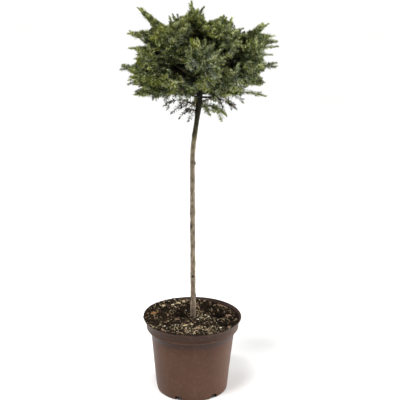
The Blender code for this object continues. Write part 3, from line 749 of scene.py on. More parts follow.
# needle sets dealt out by spray, in the same order; lighter and darker sets paint the light and shade on the
# crown, down to the shade and dark sets deep in it
NEEDLE_SETS = {
    "fresh": ("#8C9640", "#B2BA90", "#EEF0B8", "#363C14"),
    "green": ("#66732E", "#A2AC8E", "#D8DEAE", "#20270D"),
    "deep": ("#465322", "#7C886C", "#B8C298", "#161C09"),
    "blue": ("#54633F", "#B6C0B4", "#ECF1E6", "#1B2313"),
    "shade": ("#272E16", "#485038", "#78825E", "#0B0E06"),
    "dark": ("#0E1209", "#181C13", "#262C1E", "#050703"),
}
# painted light and shade: which set a spray gets, by how much light it is given; the last one is for the rest
LIGHT_LEVELS = ((0.74, "fresh"), (0.40, "green"), (0.10, "deep"), (-math.inf, "shade"))
LIGHT_LUCK = 0.58  # how much of that is chance
BLUE_SHARE = 0.20
# the needles' length along a twig: where they stop growing and start shrinking, and how short they are
FOOT_GROWS, FOOT_LENGTH = 0.14, 0.62
TIP_SHRINKS, TIP_LENGTH = 0.60, 0.52
LEAN_POWER = 2.2  # how late along a twig its needles start to lean closer
BLADE_OUTWARD = 0.4  # how much a blade turns outwards from its twig
# share of the needles that stay on the twig in the crown's shade
NEEDLES_KEPT = {"shade": 0.75, "dark": 0.5}
# the set on the young end of a spray's twigs, and where along a twig it starts
YOUNG_END = {"green": "fresh", "deep": "green", "blue": "green", "shade": "deep"}
YOUNG_FROM = 0.62
# painted shade: the set deep between the plumes
SHADED = {"fresh": "deep", "green": "shade", "deep": "shade", "blue": "deep"}


# Pot


def pot_outline(sizes):
    """The pot's section as (radius, height), from the middle of its floor over the rim to the base."""
    rim = sizes.rim_radius
    cove = arc((BODY_TOP_RADIUS + COVE_RADIUS, BODY_TOP), COVE_RADIUS, 180 - COVE_TURN, 180, 8)
    outer = [
        (rim - 0.0001, POT_HEIGHT - 0.0022),
        (rim - 0.0006, POT_HEIGHT - 0.0030),
        (rim - 0.0028, POT_HEIGHT - 0.0042),
        (rim - 0.0040, POT_HEIGHT - 0.0060),
        (rim - 0.0047, 0.1705),
        (rim - 0.0060, 0.1640),
        (COLLAR_FOOT_RADIUS + 0.0004, 0.1585),
        (COLLAR_FOOT_RADIUS + 0.0012, 0.1572),
        (COLLAR_FOOT_RADIUS + 0.0014, 0.1558),
        (COLLAR_FOOT_RADIUS + 0.0010, 0.1546),
        (COLLAR_FOOT_RADIUS - 0.0004, 0.1538),
        (COLLAR_FOOT_RADIUS - 0.0020, 0.1526),
        *cove[1:],
    ]
    steps = (0.15, 0.3, 0.45, 0.6, 0.75, 0.9)
    low = [(mix(BODY_TOP_RADIUS, BASE_RADIUS, t), mix(BODY_TOP, 0, t)) for t in steps]
    foot = arc((BASE_RADIUS - BASE_ROUNDING, BASE_ROUNDING), BASE_ROUNDING, 0, -90, 5)
    inner = [(radius - sizes.wall, height) for radius, height in reversed(outer[1:] + low)]
    lip = [
        (rim - 0.0019, POT_HEIGHT - 0.0010),
        (rim - 0.0014, POT_HEIGHT - 0.0002),
        (rim - 0.0008, POT_HEIGHT),
        (rim - 0.0002, POT_HEIGHT - 0.0004),
        (rim, POT_HEIGHT - 0.0012),
    ]
    floor = [(0, POT_FLOOR), (0.04, POT_FLOOR), (BASE_RADIUS - sizes.wall, POT_FLOOR)]
    return floor + inner + lip + outer + low + foot + [(0.04, 0), (0, 0)]


def turned(profile, sides):
    """A profile of (radius, height) turned round the upright axis."""
    bm = bmesh.new()
    verts = [bm.verts.new((x, 0, z)) for x, z in profile]
    edges = [bm.edges.new(pair) for pair in zip(verts, verts[1:])]
    whole = 2 * math.pi
    bmesh.ops.spin(bm, geom=verts + edges, axis=UP, cent=(0, 0, 0), angle=whole, steps=sides, use_merge=True)
    bmesh.ops.remove_doubles(bm, verts=bm.verts, dist=0.00002)
    return bm


def warp_pot(co, sizes):
    """A thin-walled pot's unevenness: rim out of round and raised at the back, body set over."""
    turn = math.atan2(co.y, co.x)
    near_rim = ease((co.z - 0.13) / 0.045)
    lean = sizes.lean * ease((0.150 - co.z) / 0.11) * ease(co.z / 0.02 + 0.6)
    if math.hypot(co.x, co.y) > FLOOR_REACH:
        bulge = math.exp(-((math.remainder(turn - WARP_TURN, 2 * math.pi) / WARP_WIDTH) ** 2))
        grow = 1 + near_rim * sizes.warp * bulge / POT_RIM_RADIUS
        wave = RIPPLE * math.sin(3 * turn + 0.6) * ease(co.z / 0.05)
        co.x = co.x * grow + lean
        co.y = co.y * grow
        co.x += math.cos(turn) * wave
        co.y += math.sin(turn) * wave
        co.z += BACK_RISE * near_rim * max(0.0, math.sin(turn))
    else:
        co.x += lean


def drain_cutter(number):
    """An arch-topped block that cuts one notch through floor and wall."""
    half = DRAIN_WIDTH / 2
    corner = DRAIN_HEIGHT / 2
    arch = arc((half - corner, corner), corner, 0, 90, 6) + arc((corner - half, corner), corner, 90, 180, 6)
    outline = [(half, -0.002)] + arch + [(-half, -0.002)]
    inside = BASE_RADIUS - DRAIN_DEPTH
    bm = bmesh.new()
    face = bm.faces.new([bm.verts.new((inside, y, z)) for y, z in outline])
    swept = bmesh.ops.extrude_face_region(bm, geom=[face])
    moved = [item for item in swept["geom"] if isinstance(item, bmesh.types.BMVert)]
    bmesh.ops.translate(bm, verts=moved, vec=(DRAIN_DEPTH + 0.010, 0, 0))
    turn = DRAIN_FIRST + number * 2 * math.pi / DRAIN_COUNT
    bmesh.ops.rotate(bm, verts=bm.verts, cent=(0, 0, 0), matrix=Matrix.Rotation(turn, 3, "Z"))
    return object_from(f"drain_cutter_{number + 1}", bm)


def make_pot(sizes):
    """The pot's shell with its drain notches cut, then bent a little out of true."""
    pot = object_from("pot_shell", turned(pot_outline(sizes), 160), [pot_plastic(sizes)])
    cutters = [drain_cutter(number) for number in range(DRAIN_COUNT)]
    for cutter in cutters:
        modifier = pot.modifiers.new("notch", "BOOLEAN")
        modifier.operation = "DIFFERENCE"
        modifier.solver = "EXACT"
        modifier.object = cutter
    applied(pot)
    for cutter in cutters:
        bpy.data.objects.remove(cutter)
    for vert in pot.data.vertices:
        co = vert.co.copy()
        warp_pot(co, sizes)
        vert.co = co
    smooth(pot, math.radians(50))
    return seat(pot, ["pot"])


# Soil


def near(x, y, spot):
    """How near a place is to a spot on the soil: 1 at its centre, fading over its radius."""
    return math.exp(-((x - spot[0]) ** 2 + (y - spot[1]) ** 2) / spot[2] ** 2)


def hollow(x, y):
    """How much of a hollow is at a place, and how deep it is there."""
    return max((near(x, y, spot), near(x, y, spot) * spot[3]) for spot in HOLLOWS)


def soil_height(x, y):
    """The soil's top: heaped at the back left, sunk at the back right, in clods and hollows."""
    away = math.hypot(x - TRUNK_FOOT_X, y)
    share = ease((away - SOIL_FLAT_RADIUS) / (SOIL_RADIUS - SOIL_FLAT_RADIUS))
    turn = math.atan2(y, x)
    sink = SOIL_SINK * share * max(0.0, math.cos(turn - SOIL_SINK_TURN)) ** 2
    heap = HEAP_RISE * share * max(0.0, math.cos(turn - HEAP_TURN)) ** 3
    rough = ease((away - EVEN_RADIUS) / 0.012)
    clods = sum(noise.noise(Vector((x, y, part)) * waves) * height for waves, height, part in CLODS)
    deep = hollow(x, y)[1]
    return SOIL_TOP - SOIL_EDGE_DROP * share - sink + heap + (clods - deep) * rough


def on_rim(x, y):
    """Whether litter lies on the rim there: all round but at the back right, where the flange is bare."""
    turn = math.atan2(y, x)
    return 1.0 - 0.9 * ease(1.6 * math.cos(turn - SOIL_SINK_TURN) - 0.2)


def everywhere(x, y):
    """All over the soil but in its hollows."""
    return 1.0 - ease(1.9 * hollow(x, y)[0] - 0.2)


def pale_places(x, y):
    """Pale litter lies by the trunk's foot and along the front edge, and is thin elsewhere."""
    front = ease((-y - 0.045) / 0.03)
    left_back = ease((y - 0.02) / 0.05) * ease((-x - 0.01) / 0.05)
    share = 0.68 + 0.50 * max(near(x, y, PALE_SPOT), 0.85 * front, 0.60 * left_back)
    return share * everywhere(x, y)


def mossy_places(x, y):
    """Moss grows in a few spots, and thinly between them."""
    return 0.5 + 0.9 * max(near(x, y, spot) for spot in MOSS_SPOTS)


def make_soil_top(peat, sides=144, rings=44):
    """The peat between the chips: its top in fine relief, then the pot's inside a clearance smaller."""
    bm = bmesh.new()
    turns = turns_of(sides)
    centre = bm.verts.new((TRUNK_FOOT_X, 0, SOIL_TOP))
    rows = []
    for ring in range(1, rings + 1):
        share = ring / rings
        reach = mix(0.0, SOIL_REACH, share)
        middle = mix(TRUNK_FOOT_X, 0.0, share)
        row = []
        for angle in turns:
            x, y = middle + reach * math.cos(angle), reach * math.sin(angle)
            row.append(bm.verts.new((x, y, soil_height(x, y))))
        rows.append(row)
    for radius, height in SOIL_SIDE:
        rows.append([bm.verts.new((radius * math.cos(a), radius * math.sin(a), height)) for a in turns])
    for side in range(sides):
        after = (side + 1) % sides
        bm.faces.new((centre, rows[0][side], rows[0][after]))
        for upper, lower in zip(rows, rows[1:]):
            bm.faces.new((upper[side], lower[side], lower[after], upper[after]))
    bm.faces.new(rows[-1])
    soil = object_from("peat_and_fines", bm, [peat])
    smooth(soil, math.radians(60))
    return seat(soil, ["soil"])


def chip_shape(size, seed, points=9):
    """A broken chip: the hull of a few points in a box of that size."""
    draw = random.Random(seed)
    bm = bmesh.new()
    for _ in range(points):
        spot = Vector([draw.uniform(-1, 1) for _ in range(3)]).normalized()
        bm.verts.new([c * s / 2 for c, s in zip(spot, size)])
    hull = bmesh.ops.convex_hull(bm, input=bm.verts)
    spare = [v for v in hull["geom_interior"] if isinstance(v, bmesh.types.BMVert)]
    bmesh.ops.delete(bm, geom=spare, context="VERTS")
    return object_from("chip", bm)


def fibre_shape(length, radius):
    """A bent three-sided fibre, lying down."""
    bm = bmesh.new()
    rows = []
    for i in range(4):
        t = i / 3
        middle = Vector((length * (t - 0.5), length * 0.16 * math.sin(t * math.pi), length * 0.05 * t))
        thick = radius * (1 - 0.6 * abs(2 * t - 1))
        corners = [Vector((0, math.cos(k * 2.094) * thick, math.sin(k * 2.094) * thick)) for k in range(3)]
        rows.append([bm.verts.new(middle + corner) for corner in corners])
    skin(bm, rows)
    return object_from("fibre", bm)


def node_group(name, inputs):
    """A geometry tree with a geometry socket each way and named inputs, as (name, kind, default)."""
    tree = bpy.data.node_groups.new(name, "GeometryNodeTree")
    tree.interface.new_socket("Geometry", in_out="INPUT", socket_type="NodeSocketGeometry")
    for label, kind, default in inputs:
        socket = tree.interface.new_socket(label, in_out="INPUT", socket_type="NodeSocket" + kind)
        if default is not None:
            socket.default_value = default
    tree.interface.new_socket("Geometry", in_out="OUTPUT", socket_type="NodeSocketGeometry")
    entry = tree.nodes.new("NodeGroupInput")
    return tree, {s.name: s for s in entry.outputs if s.name}


def named(tree, label, kind="FLOAT"):
    """An attribute of the mesh, read in a tree."""
    return out(add(tree, "GeometryNodeInputNamedAttribute", {"data_type": kind}, {"Name": label}))


def planted(tree, points, kept, shape, rotation, scale):
    """Instances of an object on the points that are kept."""
    shape = add(tree, "GeometryNodeObjectInfo", {"transform_space": "ORIGINAL"}, {"Object": shape})
    return out(add(tree, "GeometryNodeInstanceOnPoints", {}, {
        "Points": points, "Selection": kept, "Instance": out(shape, "Geometry"),
        "Rotation": rotation, "Scale": scale,
    }))


def finish_tree(tree, geometry, *finishes):
    """Ends a tree: instances made real, and each finish in turn given where its selection holds."""
    geometry = out(add(tree, REALIZE, {}, {"Geometry": geometry}))
    for finish, selection in finishes:
        inputs = {"Geometry": geometry, "Material": finish, "Selection": selection}
        geometry = out(add(tree, SET_MATERIAL, {}, inputs))
    exit_node = tree.nodes.new("NodeGroupOutput")
    tree.links.new(geometry, exit_node.inputs[0])
    return tree


def run_tree(obj, tree, values):
    """Runs a geometry tree on an object with its inputs set, and keeps the result as its mesh."""
    modifier = obj.modifiers.new(tree.name, "NODES")
    modifier.node_group = tree
    for item in tree.interface.items_tree:
        if item.in_out == "INPUT" and item.name in values:
            modifier[item.identifier] = values[item.name]
    return applied(obj)


def scatter_tree():
    """Drops one kind of chip on the soil: spread evenly, turned and sized at random, thinned by a noise."""
    tree, given = node_group("scatter_on_soil", [
        ("Chip", "Object", None),
        ("Gap", "Float", 0.004),
        ("Keep", "Float", 0.5),
        ("Patch Size", "Float", LITTER_PATCH),
        ("Smallest", "Float", 0.5),
        ("Largest", "Float", 1.4),
        ("Tilt", "Float", 0.5),
        ("Lift", "Float", 0.0005),
        ("Seed", "Int", 1),
        ("Finish", "Material", None),
    ])
    seed = given["Seed"]
    spread = add(tree, "GeometryNodeDistributePointsOnFaces", {"distribute_method": "POISSON"}, {
        "Mesh": given["Geometry"], "Distance Min": given["Gap"], "Density Max": 300000.0, "Seed": seed,
    })
    spot = add(tree, "GeometryNodeInputPosition")
    scale = add(tree, MATH, {"operation": "DIVIDE"}, {0: 1.0, 1: given["Patch Size"]})
    seed_w = add(tree, MATH, {"operation": "MULTIPLY"}, {0: seed, 1: 3.7})
    patches = add(tree, "ShaderNodeTexNoise", {"noise_dimensions": "4D"}, {
        "Vector": spot, "W": seed_w, "Scale": scale,
    })
    drawn = add(tree, RANDOM, {}, {"Min": -0.25, "Max": 0.25, "Seed": seed})
    sum_up = add(tree, MATH, {"operation": "ADD"}, {0: out(patches, "Fac"), 1: drawn})
    limit = add(tree, MATH, {"operation": "MULTIPLY"}, {0: given["Keep"], 1: named(tree, "share")})
    kept = add(tree, COMPARE, {"operation": "LESS_THAN"}, {"A": sum_up, "B": limit})
    tilt_low = add(tree, MATH, {"operation": "MULTIPLY"}, {0: given["Tilt"], 1: -1.0})
    low = add(tree, COMBINE, {}, {"X": tilt_low, "Y": tilt_low, "Z": -math.pi})
    high = add(tree, COMBINE, {}, {"X": given["Tilt"], "Y": given["Tilt"], "Z": math.pi})
    turn = add(tree, RANDOM, {"data_type": "FLOAT_VECTOR"}, {"Min": low, "Max": high, "Seed": seed})
    size = add(tree, RANDOM, {}, {"Min": given["Smallest"], "Max": given["Largest"], "Seed": seed})
    rotation = add(tree, "FunctionNodeEulerToRotation", {}, {"Euler": turn})
    placed = planted(tree, out(spread, "Points"), kept, given["Chip"], rotation, size)
    up = add(tree, COMBINE, {}, {"Z": given["Lift"]})
    raised = add(tree, "GeometryNodeTranslateInstances", {}, {
        "Instances": placed, "Translation": up, "Local Space": False,
    })
    return finish_tree(tree, raised, (given["Finish"], True))


def soil_disc(name, reach, share_at, sides=72, rings=26):
    """The soil's top alone, out over the rim, for litter to fall on, with the share of it at each place."""
    bm = bmesh.new()
    rows = []
    for ring in range(rings + 1):
        along = ring / rings
        away = mix(LITTER_FROM, reach, along)
        over = ease((away - RIM_INSIDE) / 0.004)
        row = []
        for angle in turns_of(sides):
            x, y = mix(TRUNK_FOOT_X, 0, along) + away * math.cos(angle), away * math.sin(angle)
            height = soil_height(x, y)
            row.append(bm.verts.new((x, y, mix(height, max(height, POT_HEIGHT), over))))
        rows.append(row)
    for a, b in zip(rows, rows[1:]):
        for k in range(sides):
            after = (k + 1) % sides
            bm.faces.new((a[k], b[k], b[after], a[after]))
    mesh = bpy.data.meshes.new(name)
    bm.to_mesh(mesh)
    bm.free()
    shares = []
    for vert in mesh.vertices:
        x, y = vert.co.x, vert.co.y
        over = ease((math.hypot(x, y) - RIM_LITTER) / 0.003)
        shares.append(share_at(x, y) * mix(1.0, on_rim(x, y), over))
    mesh.attributes.new("share", "FLOAT", "POINT").data.foreach_set("value", shares)
    return object_of(name, mesh)


def scatter(tree, seed, name, shape, finish, gap, keep, sizes, where, tilt=0.6, reach=0.110, lift=0.0010):
    """One kind of litter on the soil: least distance, share kept, range of sizes, where, and how it lies."""
    piece = soil_disc(name, reach, where)
    run_tree(piece, tree, {
        "Chip": shape, "Finish": finish, "Seed": seed, "Gap": gap, "Keep": keep, "Patch Size": LITTER_PATCH,
        "Smallest": sizes[0], "Largest": sizes[1], "Tilt": tilt, "Lift": lift,
    })
    bpy.data.objects.remove(shape)
    return seat(piece, [])


def make_large_chips(finishes):
    """The few large pieces of bark and grains that lie on the soil by themselves."""
    bm = bmesh.new()
    slots = sorted(finishes)
    for number, (x, y, turn, size, finish) in enumerate(LARGE_CHIPS):
        chip = chip_shape(size, 60 + number, 16)
        place = Matrix.Translation((x, y, soil_height(x, y) + size[2] * CHIP_RISE))
        tilted = Matrix.Rotation(math.radians(turn), 4, "Z") @ Matrix.Rotation(CHIP_TILT, 4, "X")
        chip.data.transform(place @ tilted)
        first = len(bm.faces)
        bm.from_mesh(chip.data)
        bm.faces.ensure_lookup_table()
        for face in bm.faces[first:]:
            face.material_index = slots.index(finish)
        bpy.data.objects.remove(chip)
    pieces = object_from("large_bark_pieces", bm, [finishes[name] for name in slots])
    return seat(pieces, [])


def make_soil(sizes):
    """The peat and all that lies on it."""
    # the peat gets painted shade, nearly black deep in the hollows
    make_soil_top(earth("damp_peat", ["#0B0806", "#1A140E", "#33281F"], shades=PEAT_PAINTED_SHADE))
    tree = scatter_tree()
    # dark, brown, weathered and rusty bark, pale grains, straw fibres and olive moss
    # the dark chips get the same painted shade in the hollows
    dark = earth("dark_bark_chips", ["#100C08", "#261E16", "#443829"], 0.85, 0.003, shades=PEAT_PAINTED_SHADE)
    brown = earth("brown_bark_chips", ["#544334", "#78624E", "#967E68"], 0.85, 0.003)
    tan = earth("weathered_wood_chips", ["#8C7A5C", "#B09E7C", "#CEBF9A"], 0.85, 0.002)
    pale = earth("perlite_grains", ["#CCC09A", "#E8DEBE", "#FCF8E6"], 0.9, 0.002)
    straw = earth("peat_fibres", ["#A39373", "#C2B48F", "#DACEAE"], 0.8, 0.002)
    moss = earth("moss_tufts", ["#40381F", "#5A5030", "#74683E"], 0.95, 0.002)
    rust = earth("red_brown_bark", ["#54402A", "#785A3C", "#906E48"], 0.85, 0.004)
    crumb, chip = sizes.crumb_gap, sizes.chip_gap
    # name, finish, least distance, share kept, range of sizes, where, then tilt, reach and lift
    kinds = (
        ("peat_crumbs", dark, crumb, 0.56, (0.5, 1.6), everywhere, 1.2),
        ("bark_chips_dark", dark, chip, 0.50, (0.6, 1.7), everywhere, 0.8),
        ("bark_chips_brown", brown, chip, 0.49, (0.5, 1.6), everywhere, 0.8),
        ("wood_chips_tan", tan, 0.0068, 0.47, (0.5, 1.4), pale_places, 0.9, 0.1125),
        ("perlite", pale, 0.0050, 0.43, (0.4, 1.1), pale_places, 1.5, 0.1130),
        ("moss", moss, 0.0036, 0.50, (0.5, 1.2), mossy_places, 0.5, 0.106, 0.0008),
        ("bark_chips_rust", rust, 0.0150, 0.46, (0.4, 1.0), everywhere),
        ("fibres", straw, 0.0078, 0.42, (0.5, 1.2), pale_places, 0.4, 0.1125, 0.0026),
        ("rim_crumbs", dark, 0.0024, 0.72, (0.5, 1.5), on_rim, 1.2, 0.1146),
    )
    for number, (name, *how) in enumerate(kinds):
        shape = chip_shape(*CHIPS[name]) if name in CHIPS else fibre_shape(0.015, 0.0006)
        scatter(tree, sizes.seed + number, name, shape, *how)
    make_large_chips({"rust": rust, "tan": tan, "brown": brown, "pale": pale})


# Limbs


def trunk_centre(height):
    """The trunk's axis, as in the part's source."""
    low = mix(TRUNK_FOOT_X, TRUNK_MIDDLE_X, ease((height - TRUNK_FOOT) / TRUNK_STRAIGHTENING))
    over = ease((height - TRUNK_BEND_START) / (TRUNK_BEND_END - TRUNK_BEND_START))
    back = ease((height - TRUNK_BEND_END) / (TRUNK_TOP - TRUNK_BEND_END))
    sway = TRUNK_SWAY * math.sin((height - TRUNK_FOOT) * TRUNK_SWAY_WAVE)
    x = low + (TRUNK_CROWN_X - TRUNK_MIDDLE_X) * over + (TRUNK_TOP_X - TRUNK_CROWN_X) * back
    return Vector((x, sway, height))


def trunk_radius(height):
    """The trunk's radius, as in the part's source."""
    flare = FLARE * math.exp(-(height - TRUNK_FOOT) / FLARE_HEIGHT)
    graft = GRAFT_SWELLING * math.exp(-(((height - GRAFT_HEIGHT) / GRAFT_SPAN) ** 2))
    if height < TRUNK_BEND_END:
        share = (height - TRUNK_FOOT) / (TRUNK_BEND_END - TRUNK_FOOT)
        return mix(TRUNK_FOOT_RADIUS, TRUNK_CROWN_RADIUS, share) + flare + graft
    share = (height - TRUNK_BEND_END) / (TRUNK_TOP - TRUNK_BEND_END)
    return mix(TRUNK_CROWN_RADIUS, TRUNK_TOP_RADIUS, share) + graft


def trunk_line(steps=TRUNK_STEPS):
    heights = [mix(TRUNK_FOOT, TRUNK_TOP, (i / steps) ** TRUNK_CROWDING) for i in range(steps + 1)]
    return [trunk_centre(z) for z in heights]


def frame_along(points):
    """For each point of a line, two unit vectors across it that don't twist."""
    frames = []
    across = None
    for i, point in enumerate(points):
        ahead = points[min(i + 1, len(points) - 1)] - points[max(i - 1, 0)]
        ahead.normalize()
        if across is None:
            across = ahead.orthogonal().normalized()
        across = (across - ahead * across.dot(ahead)).normalized()
        frames.append((across, ahead.cross(across)))
    return frames


# marks on the bark: (height, azimuth in degrees, height span, width in degrees, relief, darkness)
KNOTS = (
    (0.5505, -20, 0.0045, 26, 0.0024, 0.8),  # stub of a cut twig
    (0.4330, -100, 0.0100, 200, 0.0007, 0.0),  # swollen ring
    (0.4020, -140, 0.0060, 42, -0.0012, 1.0),  # pruning scar
    (0.4020, -140, 0.0095, 66, 0.0010, 0.0),  # its raised lip
    (0.2806, -92, 0.0040, 38, 0.0012, 0.9),  # small knot
    (0.2323, -30, 0.0060, 30, 0.0011, 0.8),  # lifted flake
    (0.3350, 70, 0.0050, 40, 0.0010, 0.7),
    (0.4900, 150, 0.0050, 36, 0.0011, 0.8),
    (0.6150, -160, 0.0045, 34, 0.0010, 0.7),
    (0.5900, 40, 0.0045, 34, 0.0011, 0.7),
)
# what the bark's colours are multiplied by, by height: brown at the foot, dark in the crown with algae and
# with the crown's painted shade
STEM_SHADE_AND_ALGAE = (
    (0.18, "#D8CCC4"),
    (0.23, "#F4ECE0"),
    (0.58, "#F2F0E0"),
    (0.604, "#D0D0B2"),
    (0.618, "#74765C"),
    (0.665, "#4A4A36"),
    (0.70, "#34332A"),
)
SHADE_WANDER = 0.03  # how unevenly in height these run into each other
# unevenness of the bark as (waves per metre across, waves per metre along, slice of the noise)
FLAKES = (260, 120, 9)
LUMPS = (60, 42, 4)
LUMP_HEIGHT = 0.0005
CRACK_EDGE = 0.25  # how near the noise's zero the cracks run
CRACK_LENGTHENING = 0.22
ROOT_LOBES = 0.10  # how far the trunk's foot is out of round, as a share of its radius
ROOT_HEIGHT = 0.010
# and of a bough's bark as (waves per metre, share of its radius)
BOUGH_LUMPS = ((420, 0.16), (160, 0.10))
BOUGH_COLLAR = 0.35  # how much thicker a bough is at its root
BOUGH_COLLAR_FADE = 0.9


def grain(spot, across, along, part):
    """Noise at a place on a stem, with its waves stretched along it."""
    return noise.noise(Vector((spot.x * across, spot.y * across, spot.z * along + part)))


def bark_relief(spot, height, turn, sizes):
    """How far the bark stands out at a place, and how dark its knots make it there."""
    across = 1 / sizes.scale_width
    crack = noise.noise(Vector((spot.x * across, spot.y * across, spot.z * across * CRACK_LENGTHENING)))
    cracks = -1.1 * max(0.0, CRACK_EDGE - abs(crack)) / CRACK_EDGE
    depth = sizes.relief * (cracks + 0.5 + 0.8 * grain(spot, *FLAKES)) + LUMP_HEIGHT * grain(spot, *LUMPS)
    mark = 0.0
    for knot_height, azimuth, span, width, proud, dark in KNOTS:
        rise = (height - knot_height) / span
        if abs(rise) < 3:
            aside = math.remainder(turn - math.radians(azimuth), 2 * math.pi) / math.radians(width)
            bell = math.exp(-rise * rise - aside * aside)
            depth += proud * bell
            mark = max(mark, dark * ease(1.6 * bell - 0.3))
    return depth, mark


def make_trunk(sizes, material, sides=48, steps=760):
    """The whole trunk with the bark's relief, scars and knots, a little lobed at its foot."""
    heights = [mix(TRUNK_FOOT, TRUNK_TOP, i / steps) for i in range(steps + 1)]
    bm = bmesh.new()
    rows, marks = [], []
    for height in heights:
        point, radius = trunk_centre(height), trunk_radius(height)
        row = []
        for turn in turns_of(sides):
            side = Vector((math.cos(turn), math.sin(turn), 0))
            depth, mark = bark_relief(point + side * radius, height, turn, sizes)
            marks.append(mark)
            root = 1 + ROOT_LOBES * math.exp(-(height - TRUNK_FOOT) / ROOT_HEIGHT) * math.cos(3 * turn + 0.7)
            row.append(bm.verts.new(point + side * (radius * root + depth)))
        rows.append(row)
    skin(bm, rows)
    trunk = object_from("trunk_bark", bm, [material])
    trunk.data.attributes.new("mark", "FLOAT", "POINT").data.foreach_set("value", marks)
    smooth(trunk, math.radians(70))
    return seat(trunk, ["trunk"])


def make_boughs(masses, material, sides=12, steps=18):
    """Every bough from inside the trunk to a little way inside its mass, in rough bark."""
    bm = bmesh.new()
    for mass in masses:
        if not mass.bough_length:
            continue
        points = [mass.bough_point(i / steps) for i in range(steps + 1)]
        rows = []
        for i, (point, (u, v)) in enumerate(zip(points, frame_along(points))):
            collar = 1 + BOUGH_COLLAR * math.exp(-i * BOUGH_COLLAR_FADE)
            radius = mix(BOUGH_ROOT_RADIUS, BOUGH_TIP_RADIUS, i / steps) * collar
            row = []
            for turn in turns_of(sides):
                side = u * math.cos(turn) + v * math.sin(turn)
                spot = point + side * radius
                rough = 1
                for waves, share in BOUGH_LUMPS:
                    rough += share * noise.noise(spot * waves)
                row.append(bm.verts.new(point + side * (radius * rough)))
            rows.append(row)
        skin(bm, rows)
    boughs = object_from("boughs_bark", bm, [material])
    smooth(boughs, math.radians(70))
    return seat(boughs, BOUGH_NODES)


class Mass:
    """One mass of foliage, as in the part's source."""

    def __init__(self, number, name, azimuth, tip_radius, tip_height, root_height, bough_length):
        self.number = number
        self.name = name
        self.hangs = name in HANGING
        turn = math.radians(azimuth)
        sideways = Vector((math.cos(turn), math.sin(turn), 0))
        self.root = trunk_centre(root_height)
        self.tip = Vector((TRUNK_CROWN_X, 0, tip_height)) + sideways * tip_radius
        self.bough_length = bough_length
        to_tip = (self.tip - self.root).normalized()
        if bough_length:
            outwards = to_tip * BOUGH_FORWARD + sideways * BOUGH_LEVEL
            self.start = self.root + outwards.normalized() * bough_length
        elif self.hangs:
            self.start = self.root + sideways * (trunk_radius(root_height) * HANGING_SEAT)
        else:
            self.start = self.root + UP * CLEARANCE
        self.direction = (self.tip - self.start).normalized()
        self.length = (self.tip - self.start).length
        self.heart = mix(self.start, self.tip, 0.5)

    def bough_point(self, t):
        end = self.start - self.direction * CLEARANCE
        near_root = mix(self.root, end, BOUGH_CURVE)
        near_end = end - self.direction * (self.bough_length * BOUGH_CURVE)
        return (
            self.root * (1 - t) ** 3
            + near_root * 3 * t * (1 - t) ** 2
            + near_end * 3 * t * t * (1 - t)
            + end * t**3
        )


# Shoots


class Twig:
    """A twig's line: straight out, then lifted towards the light, or arched where its own weight bends it."""

    def __init__(self, start, direction, length, order, number, arch=0.0):
        self.start = start
        self.direction = direction
        self.length = length
        self.order = order
        self.number = number
        self.arch = arch

    def at(self, t):
        lift = LIFT * self.length * t * t if self.order else 0.0
        rise = lift + self.arch * self.length * 4 * t * (1 - t)
        return self.start + self.direction * (self.length * t) + UP * rise

    def heading(self, t):
        if not self.arch:
            return self.direction
        return (self.direction + UP * (self.arch * 4 * (1 - 2 * t))).normalized()


def needle_share(t):
    """How long the needles are along a shoot, as a share of the longest: as in the part's source."""
    from_foot = min(1.0, NEEDLE_FOOT_SHARE + NEEDLE_SHARE_RISE * t)
    return from_foot * min(1.0, NEEDLE_TIP_SHARE + NEEDLE_SHARE_RISE * (1 - t))


def crown_depth(point):
    """How far out in the crown's flattened globe a point lies: 0 at its centre, 1 on its surface."""
    away = point - CROWN_CENTRE
    level = away.z + CROWN_TILT * away.y
    tall = CROWN_RISE if level > 0 else CROWN_DROP
    wide = math.hypot(away.x, away.y) / CROWN_SPREAD
    return (wide**CROWN_POWER + abs(level / tall) ** CROWN_POWER) ** (1 / CROWN_POWER)


def seen_in(point, gaps):
    """Whether the camera sees a point in one of a list of gaps."""
    seen = CAMERA_PLACE.lerp(point, CAMERA_PLACE.y / (CAMERA_PLACE.y - point.y))
    return any(math.hypot(seen.x - x, seen.z - z) < radius for x, z, radius in gaps)


def in_dark_gap(point):
    """Whether a point lies in front of the crown's heart, in a dark gap between the plumes."""
    return point.y < 0 and crown_depth(point) > GAP_DEPTH and seen_in(point, DARK_GAPS)


def in_notch(point):
    """Whether a point lies in a gap where the camera sees the sky or the crown's dark heart."""
    return seen_in(point, NOTCHES) or in_dark_gap(point)


def tip_in_notch(twig):
    """Whether a twig's outer part would close one of those gaps."""
    checked = ((0.5, 0.0), (0.7, 0.0), (0.85, 0.0), (1.0, TIP_ROOM))
    return any(in_notch(twig.at(t) + twig.direction * room) for t, room in checked)


